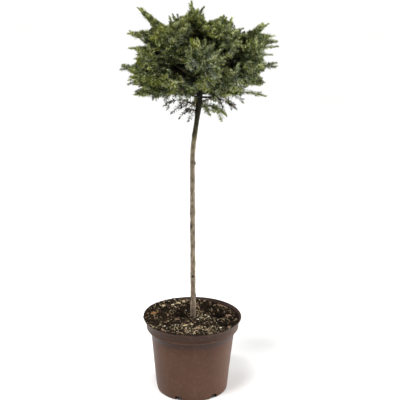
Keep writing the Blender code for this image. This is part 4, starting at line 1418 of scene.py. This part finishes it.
class Space:
    """The space that a mass keeps to: nearer its own heart than any other, and clear of the limbs."""

    def __init__(self, mass, masses, limbs):
        self.hangs = mass.hangs
        self.foot, self.along = mass.start, mass.direction
        self.walls = []
        for other in masses:
            if other is not mass:
                inwards = (mass.heart - other.heart).normalized()
                self.walls.append((mix(mass.heart, other.heart, 0.5) + inwards * MASS_GAP / 2, inwards))
        self.limbs = limbs

    def holds(self, point):
        return all((point - foot).dot(inwards) > 0 for foot, inwards in self.walls)

    def clear_of_limbs(self, point, reach):
        for start, end, radius in self.limbs:
            along = end - start
            t = min(max((point - start).dot(along) / along.length_squared, 0.0), 1.0)
            if (point - start - along * t).length < radius + reach + CLEARANCE:
                return False
        return True

    def takes(self, twig):
        """Whether a side shoot and its needles stay in the space, in the crown and off the limbs."""
        side = twig.direction.orthogonal().normalized()
        other = twig.direction.cross(side)
        for t in (0.0, 0.2, 0.4, 0.6, 0.8, 1.0):
            point = twig.at(t)
            if not self.hangs and crown_depth(point) > 1:
                return False
            wide = max(NEEDLE_REACH * needle_share(t), SPRAY_CORE_RADIUS) if t else SPRAY_CORE_RADIUS
            around = [side * wide, side * -wide, other * wide, other * -wide]
            if not all(self.holds(point + offset) for offset in around):
                return False
            if not self.clear_of_limbs(point, wide):
                return False
        return True

    def takes_fine(self, twig, depth, ragged):
        """The same for a finer twig, which is tested along its line alone."""
        tip = twig.at(1.0)
        beyond = tip + twig.direction * TIP_ROOM
        limit = depth + (UNDER_MORE - ragged if beyond.z < CROWN_CENTRE.z else 0.0)
        away = (tip - self.foot).cross(self.along).length
        limit -= PLUME_TAPER * ease(away / PLUME_WIDTH) * ease((abs(tip.y) - TAPER_FROM) / TAPER_FADE)
        if self.hangs and beyond.z < LOWEST_NEEDLE:
            return False
        if not self.hangs and (crown_depth(beyond) > limit or tip_in_notch(twig)):
            return False
        if not (self.holds(tip) and self.holds(twig.at(0.5))):
            return False
        return self.clear_of_limbs(tip, TWIG_RADII[-1])


def splayed(heading, roll, angle):
    """A direction turned off a heading by an angle, rolled round it from the level."""
    across = heading.cross(UP)
    if across.length < STEEP:
        across = heading.cross(Vector((1, 0, 0)))
    across = Matrix.Rotation(roll, 3, heading) @ across.normalized()
    return heading * math.cos(angle) + across * math.sin(angle)


def longest_twig(start, direction, length, shortest, order, number, fits):
    """The longest twig that fits, no longer than a length, or None where even a short one has no room."""
    while length > shortest:
        twig = Twig(start, direction, length, order, number)
        if fits(twig):
            return twig
        length *= SHORTENING
    return None


def side_twig(parent, number, count, space):
    """The side shoot of that number on a stem, or None where there is no room: as in the part's source."""
    own_number = parent.number * 10 + number + 1
    draw = random.Random(own_number)
    place = mix(FIRST_SIDE, LAST_SIDE, (number + 0.5) / count)
    roll = draw.uniform(-ROLL_SPREAD, ROLL_SPREAD) + (number + parent.number) * GOLDEN_ANGLE
    angle = mix(SIDE_ANGLE_ROOT, SIDE_ANGLE_TIP, place) + draw.uniform(-1, 1) * SIDE_ANGLE_SPREAD
    length = parent.length * mix(SIDE_LENGTH_ROOT, SIDE_LENGTH_TIP, place)
    length = min(length, LONGEST_SIDE) * (1 + draw.uniform(-1, 1) * LENGTH_SPREAD)
    start = parent.at(place)
    outward = start - CROWN_CENTRE
    outward.z = max(outward.z, 0.0)
    pull = UP * -DOWNWARD if space.hangs else outward.normalized() * OUTWARD
    direction = (splayed(parent.heading(place), roll, angle) + pull).normalized()
    return longest_twig(
        start, direction, length, SHORTEST_SHOOT, 1, own_number,
        lambda twig: space.takes(twig) and not tip_in_notch(twig),
    )


def fine_twig(parent, number, count, space, length_limit):
    """A finer twig by the same rule: by turns to either side of its parent, shorter towards the tip."""
    on_stem = parent.order == 0
    draw = random.Random(parent.number * 31 + number * 7 + 5)
    share = (number + draw.uniform(0.25, 0.75)) / count
    place = mix(FINE_FIRST, PLUME_LAST if on_stem else FINE_LAST, share)
    outer = on_stem and place > PLUME_FROM
    roll = number * math.pi + draw.uniform(-FINE_ROLL, FINE_ROLL)
    if on_stem:
        roll = draw.uniform(-math.pi, math.pi)
    angle = mix(SIDE_ANGLE_ROOT, SIDE_ANGLE_TIP, place)
    angle += draw.uniform(-1, 1) * SIDE_ANGLE_SPREAD * FINE_UNEVEN
    length = min(parent.length * mix(FINE_LENGTH_ROOT, FINE_LENGTH_TIP, place), length_limit)
    length *= 1 + draw.uniform(-1, 1) * LENGTH_SPREAD * FINE_UNEVEN
    if outer:
        length = min(length, PLUME_TWIG)
    start = parent.at(place)
    direction = splayed(parent.heading(place), roll, angle)
    if space.hangs:
        direction = (direction + UP * -HANGING_PULL).normalized()
    elif on_stem:
        direction = (direction + (start - CROWN_CENTRE).normalized() * FILL_OUTWARD).normalized()
    ragged = draw.random() * UNDER_RAGGED
    depth = CROWN_EDGE if outer or draw.random() < REACHING_SHARE else FINE_DEPTH
    if outer:
        depth = max(depth, crown_depth(parent.at(1.0 if parent.direction.z > 0.9 else 0.8)))
    return longest_twig(
        start, direction, length, FINE_SHORTEST, parent.order + 1, parent.number * 10 + number + 1,
        lambda twig: space.takes_fine(twig, depth, ragged),
    )


def clear_below(twig):
    """Whether a hanging twig ends above the crown's lowest needles there."""
    tip = twig.at(1.0) + twig.direction * TIP_ROOM
    return tip.z > LOWEST_NEEDLE + DROOPING_RISE * abs(tip.x - TRUNK_CROWN_X) and not in_notch(tip)


def drooping_twig(stem, number):
    """A thin twig that hangs from the shaded underside of a low stem."""
    draw = random.Random(stem.number * 13 + number)
    start = stem.at(mix(DROOPING_FROM, DROOPING_TO, (number + draw.random()) / DROOPING))
    aside = Vector((draw.uniform(-0.5, 0.5), draw.uniform(-0.5, 0.5), 0))
    aside += stem.direction * draw.uniform(0.2, 0.8)
    direction = (aside + UP * -draw.uniform(0.5, 1.1)).normalized()
    length = DROOPING_LENGTH * draw.uniform(0.5, 1.0)
    own_number = stem.number * 10 + 60 + number
    return longest_twig(start, direction, length, FINE_SHORTEST, 2, own_number, clear_below)


def grow_fine(parent, space):
    """All finer twigs on a twig, down to the last order."""
    if parent.order >= FINE_ORDERS or parent.length < FORKING_LENGTH:
        return []
    count = FILL_TWIGS if parent.order == 0 else max(1, round(parent.length / FINE_SPACING))
    limit = FILL_LENGTH if parent.order == 0 else FINE_LONGEST
    if space.hangs:
        count = min(count, HANGING_FINE[parent.order])
    grown = []
    for number in range(count):
        twig = fine_twig(parent, number, count, space, limit)
        if twig:
            grown += [twig] + grow_fine(twig, space)
    return grown


def thin_places(grown):
    """Places just inside the crown's surface, seen from all round, that lie too far from any twig."""
    steps = [(twig, i / 6) for twig, _, _ in grown for i in range(1, 7)]
    tree = kdtree.KDTree(len(steps))
    for number, (twig, t) in enumerate(steps):
        tree.insert(twig.at(t), number)
    tree.balance()
    places = []
    for depth, gap in THIN_SHELLS:
        for number in range(THIN_SPOTS):
            level = 1 - 2 * (number + 0.5) / THIN_SPOTS
            flat = math.sqrt(1 - level * level)
            turn = number * GOLDEN_ANGLE
            way = Vector((flat * math.cos(turn), flat * math.sin(turn), level))
            place = CROWN_CENTRE + way * (depth / crown_depth(CROWN_CENTRE + way))
            apart = all((place - other).length > gap for other in places)
            if place.z > THIN_LOWEST and apart and tree.find(place)[2] > gap and not in_notch(place):
                places.append(place)
    return places


def filling_twig(place, number, masses, limbs, stands_out):
    """A shoot from the stem nearest to a place, through it or with its tip there, with its mass and space."""
    mass = min((mass for mass in masses if not mass.hangs), key=lambda mass: (place - mass.heart).length)
    reach = (place - mass.start).dot(mass.direction)
    aside = (place - mass.start - mass.direction * reach).length
    slant = LONG_SLANT if stands_out else THIN_SLANT
    foot = min(max((reach - aside * slant) / mass.length, SHOOT_FIRST), SHOOT_LAST)
    start = mass.start + mass.direction * (mass.length * foot)
    if stands_out:
        place = place - UP * (LIFT * (place - start).length)
        length = (place - start).length - TIP_ROOM
    else:
        length = min((place - start).length + TIP_ROOM, THIN_LENGTH)
    twig = Twig(start, (place - start).normalized(), length, 1, SHOOT_NUMBER + number, SHOOT_ARCH)
    return twig, mass, Space(mass, masses, limbs)


def limb_segments(masses):
    """The trunk and the boughs as (start, end, radius), for the twigs to stay clear of."""
    trunk = trunk_line()
    found = [(a, b, trunk_radius(a.z)) for a, b in zip(trunk, trunk[1:])]
    for mass in masses:
        if mass.bough_length:
            line = [mass.bough_point(i / BOUGH_STEPS) for i in range(BOUGH_STEPS + 1)]
            found += [(a, b, BOUGH_ROOT_RADIUS) for a, b in zip(line, line[1:])]
    return found


def spray_set(side, mass):
    """The needle set of a whole spray, as painted light and shade: paler on top and outside, darker below and
    inside.
    """
    draw = random.Random(side.number * 3 + 11)
    tip = side.at(1.0)
    height = (tip.z - BELOW_CROWN) / CROWN_TALL
    away = Vector((tip.x - CROWN_CENTRE.x, tip.y, 0)).length / CROWN_SPREAD
    light = 0.55 * height + 0.35 * away + draw.uniform(-LIGHT_LUCK, LIGHT_LUCK)
    # hanging sprays are painted dark as the crown's shade, but for the lit ones
    if mass.hangs:
        return LIT_HANGING.get(mass.name, "dark")
    if draw.random() < BLUE_SHARE:
        return "blue"
    return next(name for level, name in LIGHT_LEVELS if light > level)


def tone_runs(twig, tone, hangs):
    """A twig cut where its needles change: painted shade, dark inside the crown and in its dark gaps and
    shaded a little further out, and a paler set on its young end.
    """
    steps = max(3, round(twig.length / PATH_STEP))
    edge = INNER_DEPTH + INNER_WAVE * math.sin(twig.number * 1.7)
    tones = []
    for i in range(steps):
        t = (i + 0.5) / steps
        below = hangs or twig.at(t).z < BELOW_CROWN
        depth = 1.0 if below else crown_depth(twig.at(t)) + INNER_DEPTH - edge
        if depth < INNER_DEPTH or in_dark_gap(twig.at(t)):
            tones.append("dark")
        elif depth < SHADED_DEPTH:
            tones.append(SHADED.get(tone, tone))
        else:
            tones.append(YOUNG_END.get(tone, tone) if t > YOUNG_FROM else tone)
    runs, first = [], 0
    for i in range(1, steps + 1):
        if i == steps or tones[i] != tones[first]:
            runs.append((tones[first], first, i, steps))
            first = i
    return runs


def draw_back(stem):
    """Ends a stem within its mass's tip, and further in while the camera sees its tip in a gap."""
    shortest = STEM_SHORTEST * stem.length
    stem.length -= STEM_END
    while stem.length > shortest and seen_in(stem.at(1.0) + stem.direction * TIP_ROOM, NOTCHES):
        stem.length *= STEM_STEP


def grow_crown(masses):
    """Every twig of the crown, as (twig, needle set, hangs)."""
    limbs = limb_segments(masses)
    grown = []
    for mass in masses:
        space = Space(mass, masses, limbs)
        arch = HANGING_ARCH if mass.hangs else (LOW_ARCH if mass.tip.z < ARCHED_BELOW else 0.0)
        stem = Twig(mass.start, mass.direction, mass.length, 0, mass.number, arch)
        if not mass.hangs and mass.name not in WHOLE_STEMS:
            draw_back(stem)
        count = HANGING_SIDE_TWIGS if mass.hangs else SIDE_TWIGS
        stem_set = spray_set(stem, mass)
        bare = mass.hangs and mass.name != "hanging_right"
        grown.append((stem, stem_set, bare))
        for side in (side_twig(stem, number, count, space) for number in range(count)):
            if side:
                tone = spray_set(side, mass)
                grown.append((side, tone, bare))
                grown += [(twig, tone, bare) for twig in grow_fine(side, space)]
        grown += [(twig, stem_set, bare) for twig in grow_fine(stem, space)]
        if mass.tip.z < DROOPING_BELOW and not mass.hangs:
            hanging = (drooping_twig(stem, number) for number in range(DROOPING))
            grown += [(twig, "shade", True) for twig in hanging if twig]
    long_shoots = [(Vector(tip), True) for tip in LONG_SHOOTS]
    thin = [(place, False) for place in thin_places(grown)]
    for number, (place, stands_out) in enumerate(long_shoots + thin):
        twig, mass, space = filling_twig(place, number, masses, limbs, stands_out)
        if not stands_out and tip_in_notch(twig):
            continue
        tone = spray_set(twig, mass)
        grown.append((twig, tone, False))
        grown += [(finer, tone, False) for finer in grow_fine(twig, space)]
    return grown


def twig_paths(name, runs, thick=1.0):
    """A mesh of twigs' lines, with what the needles and the bark need to know at each point."""
    verts, edges, ahead = [], [], []
    known = {"share": [], "radius": [], "full": [], "density": [], "ends": []}
    for twig, hangs, first, last, steps in runs:
        foot = TWIG_RADII[min(twig.order, 3)] * (0.75 + 0.25 * min(1.0, twig.length / 0.05))
        full = (0.74 + 0.26 * min(1.0, twig.length / 0.030)) * (0.9 if hangs else 1.0)
        for i in range(first, last + 1):
            t = i / steps
            if i > first:
                edges.append((len(verts) - 1, len(verts)))
            verts.append(twig.at(t))
            known["share"].append(t)
            known["radius"].append(mix(foot, TWIG_TIP_RADIUS, t))
            known["full"].append(full)
            known["density"].append(HANGING_NEEDLES if hangs else thick)
            known["ends"].append(1.0 if i == steps else 0.0)
            ahead.extend((twig.at(min(1.0, t + 0.1)) - twig.at(t - 0.1)).normalized())
    mesh = bpy.data.meshes.new(name)
    mesh.from_pydata(verts, edges, [])
    for label, values in known.items():
        mesh.attributes.new(label, "FLOAT", "POINT").data.foreach_set("value", values)
    mesh.attributes.new("ahead", "FLOAT_VECTOR", "POINT").data.foreach_set("vector", ahead)
    return object_of(name, mesh)


def needle_shape(sizes):
    """One needle along +Z: a flat blade above, keeled below, widest near its foot, its tip bent forwards."""
    length, half = sizes.needle_length, sizes.needle_width / 2
    bend = length * 0.07
    high, wide = half * 0.55 + bend * 0.36, length * 0.36
    verts = [(0, 0, 0), (-half, high, wide), (half, high, wide), (0, bend, length)]
    mesh = bpy.data.meshes.new("needle_shape")
    mesh.from_pydata(verts, [], [(0, 1, 2), (1, 3, 2), (0, 3, 1), (0, 2, 3)])
    # the foot face is marked for the painted shade at each needle's foot
    for label, marked in (("underside", 2), ("foot", 0)):
        faces = mesh.attributes.new(label, "BOOLEAN", "FACE").data
        faces.foreach_set("value", [number == marked for number in range(4)])
    return object_of("needle_shape", mesh)


def needle_tree():
    """Needles in a spiral along each twig, leaning forwards, their blades turned to the light."""
    tree, given = node_group("needles_on_twigs", [
        ("Needle", "Object", None),
        ("Gap", "Float", 0.0005),
        ("Lean Foot", "Float", 1.1),
        ("Lean Tip", "Float", 0.5),
        ("Upward", "Float", 0.15),
        ("Seed", "Int", 3),
        *((label, "Material", None) for label in NEEDLE_PARTS),
        ("Pale Share", "Float", 0.1),
        ("Dark Share", "Float", 0.1),
    ])
    curve = add(tree, "GeometryNodeMeshToCurve", {}, {"Mesh": given["Geometry"]})
    points = add(tree, "GeometryNodeCurveToPoints", {"mode": "LENGTH"}, {
        "Curve": curve, "Length": given["Gap"],
    })
    share = named(tree, "share")
    ahead = out(points, "Tangent")
    index = add(tree, "GeometryNodeInputIndex")
    # one draw for each needle, as (least, most, seed)
    wander, grown, luck, tone = [
        add(tree, RANDOM, {}, {"Min": low, "Max": high, "ID": index, "Seed": seed})
        for low, high, seed in ((-0.16, 0.16, 17), (0.80, 1.14, 41), (0.0, 1.0, 53), (0.0, 1.0, 67))
    ]
    uneven = add(tree, RANDOM, {}, {"Min": -0.5, "Max": 0.5, "Seed": given["Seed"]})
    spin = add(tree, MATH, {"operation": "MULTIPLY_ADD"}, {0: index, 1: GOLDEN_ANGLE, 2: uneven})
    around = add(tree, "ShaderNodeVectorRotate", {"rotation_type": "AXIS_ANGLE"}, {
        "Vector": out(points, "Normal"), "Axis": ahead, "Angle": spin,
    })
    # the lean: over most of the twig as at its foot, then closer
    curve_share = add(tree, MATH, {"operation": "POWER"}, {0: share, 1: LEAN_POWER})
    lean = add(tree, MAP_RANGE, {}, {
        "Value": curve_share, "To Min": given["Lean Foot"], "To Max": given["Lean Tip"],
    })
    leant = add(tree, MATH, {"operation": "ADD"}, {0: lean, 1: wander})
    forwards, sideways = [
        add(tree, VECTOR_MATH, {"operation": "SCALE"}, {
            "Vector": way, "Scale": add(tree, MATH, {"operation": part}, {0: leant}),
        })
        for way, part in ((ahead, "COSINE"), (around, "SINE"))
    ]
    straight = add(tree, VECTOR_MATH, {"operation": "ADD"}, {0: forwards, 1: sideways})
    light = add(tree, COMBINE, {}, {"Z": given["Upward"]})
    along = add(tree, VECTOR_MATH, {"operation": "ADD"}, {0: straight, 1: light})
    pointed = add(tree, ALIGN, {"axis": "Z"}, {"Vector": along})
    # the blade's flat side: up, a little outwards and a little astray
    stray = add(tree, RANDOM, {"data_type": "FLOAT_VECTOR"}, {
        "Min": (-0.5, -0.5, 0.4), "Max": (0.5, 0.5, 1.4), "ID": index, "Seed": 29,
    })
    blade = add(tree, VECTOR_MATH, {"operation": "MULTIPLY_ADD"}, {
        0: around, 1: (BLADE_OUTWARD,) * 3, 2: stray,
    })
    flat = add(tree, ALIGN, {"axis": "Y", "pivot_axis": "Z"}, {"Rotation": pointed, "Vector": blade})
    # the length: shorter at both ends of the twig and on short twigs
    foot = add(tree, MAP_RANGE, {}, {"Value": share, "From Max": FOOT_GROWS, "To Min": FOOT_LENGTH})
    tip = add(tree, MAP_RANGE, {}, {
        "Value": share, "From Min": TIP_SHRINKS, "To Min": 1.0, "To Max": TIP_LENGTH,
    })
    long = foot
    for factor in (tip, grown, named(tree, "full")):
        long = add(tree, MATH, {"operation": "MULTIPLY"}, {0: long, 1: factor})
    scale = add(tree, COMBINE, {}, {"X": 1.0, "Y": 1.0, "Z": long})
    kept = add(tree, COMPARE, {"operation": "LESS_EQUAL"}, {"A": luck, "B": named(tree, "density")})
    toned = add(tree, "GeometryNodeStoreNamedAttribute", {}, {
        "Geometry": out(points, "Points"), "Name": "tone", "Value": tone,
    })
    placed = planted(tree, toned, kept, given["Needle"], flat, scale)
    # the palest by their tone, as painted highlights and pale waxy sides; and as painted shade the needles in
    # their neighbours' shade, with the foot of every needle
    pale = add(tree, COMPARE, {"operation": "LESS_THAN"}, {
        "A": named(tree, "tone"), "B": given["Pale Share"],
    })
    rest = add(tree, MATH, {"operation": "SUBTRACT"}, {0: 1.0, 1: given["Dark Share"]})
    shaded = add(tree, COMPARE, {"operation": "GREATER_THAN"}, {"A": named(tree, "tone"), "B": rest})
    dark = add(tree, "FunctionNodeBooleanMath", {"operation": "OR"}, {
        0: shaded, 1: named(tree, "foot", "BOOLEAN"),
    })
    held = (True, named(tree, "underside", "BOOLEAN"), pale, dark)
    return finish_tree(tree, placed, *((given[label], where) for label, where in zip(NEEDLE_PARTS, held)))


def twig_tree():
    """Bark round every twig, thinner to its tip."""
    tree, given = node_group("bark_on_twigs", [("Sides", "Int", 5), ("Finish", "Material", None)])
    curve = add(tree, "GeometryNodeMeshToCurve", {}, {"Mesh": given["Geometry"]})
    ring = add(tree, "GeometryNodeCurvePrimitiveCircle", {"mode": "RADIUS"}, {
        "Resolution": given["Sides"], "Radius": 1.0,
    })
    tube = add(tree, "GeometryNodeCurveToMesh", {}, {
        "Curve": curve, "Profile Curve": ring, "Scale": named(tree, "radius"), "Fill Caps": True,
    })
    return finish_tree(tree, tube, (given["Finish"], True))


def bud_tree():
    """A bud on the end of every twig."""
    tree, given = node_group("buds_on_twigs", [("Bud", "Object", None), ("Finish", "Material", None)])
    ahead = add(tree, ALIGN, {"axis": "Z"}, {"Vector": named(tree, "ahead", "FLOAT_VECTOR")})
    last = add(tree, COMPARE, {"operation": "GREATER_THAN"}, {"A": named(tree, "ends"), "B": 0.5})
    size = add(tree, RANDOM, {}, {"Min": 0.7, "Max": 1.25, "Seed": 5})
    placed = planted(tree, given["Geometry"], last, given["Bud"], ahead, size)
    return finish_tree(tree, placed, (given["Finish"], True))


def bud_shape(sides=5):
    """A pointed egg of scales, along +Z."""
    bm = bmesh.new()
    low, high = [
        [bm.verts.new((radius * math.cos(a), radius * math.sin(a), height)) for a in turns_of(sides)]
        for height, radius in ((-0.0004, 0.0006), (0.0008, 0.0010))
    ]
    tip = bm.verts.new((0, 0, 0.0026))
    for k in range(sides):
        bm.faces.new((low[k], low[k - 1], high[k - 1], high[k]))
        bm.faces.new((high[k], high[k - 1], tip))
    bm.faces.new(low)
    return object_from("bud_shape", bm)


def run_length(run):
    """Metres of a run of twig."""
    twig, _, first, last, steps = run
    return twig.length * (last - first) / steps


def dealt(runs):
    """Runs of twig in even groups, each short enough in all for one piece of needles."""
    metres = sum(run_length(run) for run in runs)
    count = math.ceil(metres / PIECE_METRES)
    groups, done = [[] for _ in range(count)], 0.0
    for run in runs:
        groups[min(int(done / metres * count), count - 1)].append(run)
        done += run_length(run)
    return groups


def all_masses():
    """The masses in the source's order, which sets their numbers."""
    sizes = {**MASSES, **HANGING}
    return [Mass(100 + i, name, *sizes[name]) for i, name in enumerate(sizes)]


def make_needles(sizes, by_tone):
    """The needles of each set, on its runs of twig as (twig, hangs, first step, last step, steps)."""
    shape = needle_shape(sizes)
    tree = needle_tree()
    for name, tones in NEEDLE_SETS.items():
        finishes = {
            label: needle_finish(f"needle_{part}_{name}", linear(tone))
            for (label, part), tone in zip(NEEDLE_PARTS.items(), tones)
        }
        for number, runs in enumerate(dealt(by_tone[name])):
            piece = twig_paths(f"needles_{name}_{number + 1}", runs, NEEDLES_KEPT.get(name, 1.0))
            run_tree(piece, tree, {
                "Needle": shape, "Gap": sizes.needle_gap, "Seed": sizes.seed, "Upward": sizes.upward,
                "Lean Foot": sizes.lean_foot, "Lean Tip": sizes.lean_tip,
                "Pale Share": sizes.pale_share, "Dark Share": sizes.dark_share, **finishes,
            })
            seat(piece, FOLIAGE_NODES)
    bpy.data.objects.remove(shape)


def make_foliage(sizes):
    """All shoots of the crown: their needles, their bark and the buds on their ends."""
    by_tone = {name: [] for name in NEEDLE_SETS}
    whole = []
    for twig, tone, hangs in grow_crown(all_masses()):
        for run_tone, first, last, steps in tone_runs(twig, tone, hangs):
            by_tone[run_tone].append((twig, hangs, first, last, steps))
        steps = max(2, round(twig.length / BARK_STEP))
        whole.append((twig, hangs, 0, steps, steps))
    make_needles(sizes, by_tone)
    greener_up = [(0.0, "#FFFFFF"), (1.0, "#E6F0B8")]
    young = bark("young_twig_bark", ["#5C4A34", "#7A6446", "#94805C"], "#3A2E20", greener_up)
    piece = twig_paths("twigs", whole)
    run_tree(piece, twig_tree(), {"Sides": 4, "Finish": young})
    smooth(piece, math.radians(80))
    seat(piece, [])
    bud = bud_shape()
    scales = earth("bud_scales", ["#5A3A1E", "#7C5228", "#9C6E38"], 0.6, 0.001)
    piece = twig_paths("buds", [run for run in whole if run[0].length > BUD_TWIG])
    run_tree(piece, bud_tree(), {"Bud": bud, "Finish": scales})
    bpy.data.objects.remove(bud)
    seat(piece, [])


# Stage

LAMP_TILT = (math.radians(16), math.radians(-12), 0)
STRIP_SIZE = (0.5, 1.6)
STRIP_PLACE = Vector((1.5, 0.35, 0.9))
STRIP_AIM = Vector((0, 0, 0.45))


def linked(name, data):
    """An object of light or camera data, in the scene."""
    obj = bpy.data.objects.new(name, data)
    bpy.context.scene.collection.objects.link(obj)
    return obj


def make_stage(sizes):
    """A white floor that turns up all round, pale surroundings, three lights and the photo's camera."""
    scene = bpy.context.scene
    profile = [(0, 0), (sizes.floor_radius, 0)]
    profile += arc((sizes.floor_radius, sizes.wall_height), sizes.wall_height, -90, -5, 12)[1:]
    # matt white paper, hardly uneven
    finish, tree, shader, place = new_material("matt_white_floor", 0.9, 0.1)
    clouds = ramp(tree, speckle(tree, place, 0.5, 2), [(0.3, "#F6F6F5"), (0.7, "#FAFAF9")])
    tree.links.new(clouds, shader.inputs["Base Color"])
    floor = object_from("floor", turned(profile, 96), [finish])
    smooth(floor)
    world = bpy.data.worlds.new("pale_surroundings")
    world.use_nodes = True
    background = world.node_tree.nodes["Background"]
    background.inputs["Color"].default_value = (1.0, 1.0, 1.0, 1)
    background.inputs["Strength"].default_value = sizes.sky
    scene.world = world
    sun = bpy.data.lights.new("broad_light_above", "SUN")
    sun.energy = sizes.key
    sun.angle = sizes.softness
    linked(sun.name, sun).rotation_euler = LAMP_TILT
    for name, side, power in (("strip_left", -1, sizes.left), ("strip_right", 1, sizes.right)):
        strip = bpy.data.lights.new(name, "AREA")
        strip.shape = "RECTANGLE"
        strip.size, strip.size_y, strip.energy = *STRIP_SIZE, power
        light = linked(name, strip)
        light.location = (side * STRIP_PLACE.x, STRIP_PLACE.y, STRIP_PLACE.z)
        light.rotation_euler = (STRIP_AIM - light.location).to_track_quat("-Z", "Y").to_euler()
    view = bpy.data.cameras.new("camera")
    view.sensor_width = 36
    view.lens = sizes.lens
    camera = linked("camera", view)
    camera.location = sizes.camera_place
    camera.rotation_euler = (math.pi / 2 - sizes.camera_drop, 0, 0)
    scene.camera = camera
    scene.view_settings.view_transform = "Standard"


# Operators


class SPRUCE_OT_pot(bpy.types.Operator):
    """Model the nursery pot and its plastic"""

    bl_idname = "spruce.pot"
    bl_label = "Pot"

    def execute(self, context):
        make_pot(context.scene.spruce_pot)
        return {"FINISHED"}


class SPRUCE_OT_soil(bpy.types.Operator):
    """Fill the pot with peat, bark chips, grains and fibres"""

    bl_idname = "spruce.soil"
    bl_label = "Soil"

    def execute(self, context):
        make_soil(context.scene.spruce_soil)
        return {"FINISHED"}


class SPRUCE_OT_limbs(bpy.types.Operator):
    """Give the trunk and the boughs their bark"""

    bl_idname = "spruce.limbs"
    bl_label = "Trunk and boughs"

    def execute(self, context):
        sizes = context.scene.spruce_stem
        # the upper stem is darkened as algae and as the crown's painted shade
        material = bark("spruce_stem_bark", ["#675D55", "#8A7F71", "#AB9F90"], "#463B31", STEM_SHADE_AND_ALGAE)
        make_trunk(sizes, material)
        make_boughs(all_masses(), material)
        return {"FINISHED"}


class SPRUCE_OT_foliage(bpy.types.Operator):
    """Grow the shoots with their needles, bark and buds"""

    bl_idname = "spruce.foliage"
    bl_label = "Shoots and needles"

    def execute(self, context):
        make_foliage(context.scene.spruce_foliage)
        return {"FINISHED"}


class SPRUCE_OT_stage(bpy.types.Operator):
    """Set the floor, the lights and the camera"""

    bl_idname = "spruce.stage"
    bl_label = "Stage"

    def execute(self, context):
        make_stage(context.scene.spruce_stage)
        return {"FINISHED"}


class SPRUCE_PT_panel(bpy.types.Panel):
    """Lists the spruce's operators with their sizes and colours"""

    bl_idname = "SPRUCE_PT_panel"
    bl_label = "Potted spruce"
    bl_space_type = "VIEW_3D"
    bl_region_type = "UI"
    bl_category = "Spruce"

    def draw(self, context):
        scene = context.scene
        parts = (
            (SPRUCE_OT_stage, scene.spruce_stage),
            (SPRUCE_OT_pot, scene.spruce_pot),
            (SPRUCE_OT_soil, scene.spruce_soil),
            (SPRUCE_OT_limbs, scene.spruce_stem),
            (SPRUCE_OT_foliage, scene.spruce_foliage),
        )
        for operator, sizes in parts:
            box = self.layout.box()
            box.operator(operator.bl_idname)
            for name in sizes.__annotations__:
                box.prop(sizes, name)


GROUPS = {
    "spruce_pot": PotSizes,
    "spruce_soil": SoilSizes,
    "spruce_stem": StemSizes,
    "spruce_foliage": FoliageSizes,
    "spruce_stage": StageSizes,
}
OPERATORS = (SPRUCE_OT_stage, SPRUCE_OT_pot, SPRUCE_OT_soil, SPRUCE_OT_limbs, SPRUCE_OT_foliage)


def register():
    for group in GROUPS.values():
        bpy.utils.register_class(group)
    for name, group in GROUPS.items():
        setattr(bpy.types.Scene, name, bpy.props.PointerProperty(type=group))
    for operator in OPERATORS:
        bpy.utils.register_class(operator)
    bpy.utils.register_class(SPRUCE_PT_panel)


def unregister():
    bpy.utils.unregister_class(SPRUCE_PT_panel)
    for operator in reversed(OPERATORS):
        bpy.utils.unregister_class(operator)
    for name, group in GROUPS.items():
        delattr(bpy.types.Scene, name)
        bpy.utils.unregister_class(group)


def main():
    register()
    bpy.ops.spruce.stage()
    bpy.ops.spruce.pot()
    bpy.ops.spruce.soil()
    bpy.ops.spruce.limbs()
    bpy.ops.spruce.foliage()


if __name__ == "__main__":
    main()
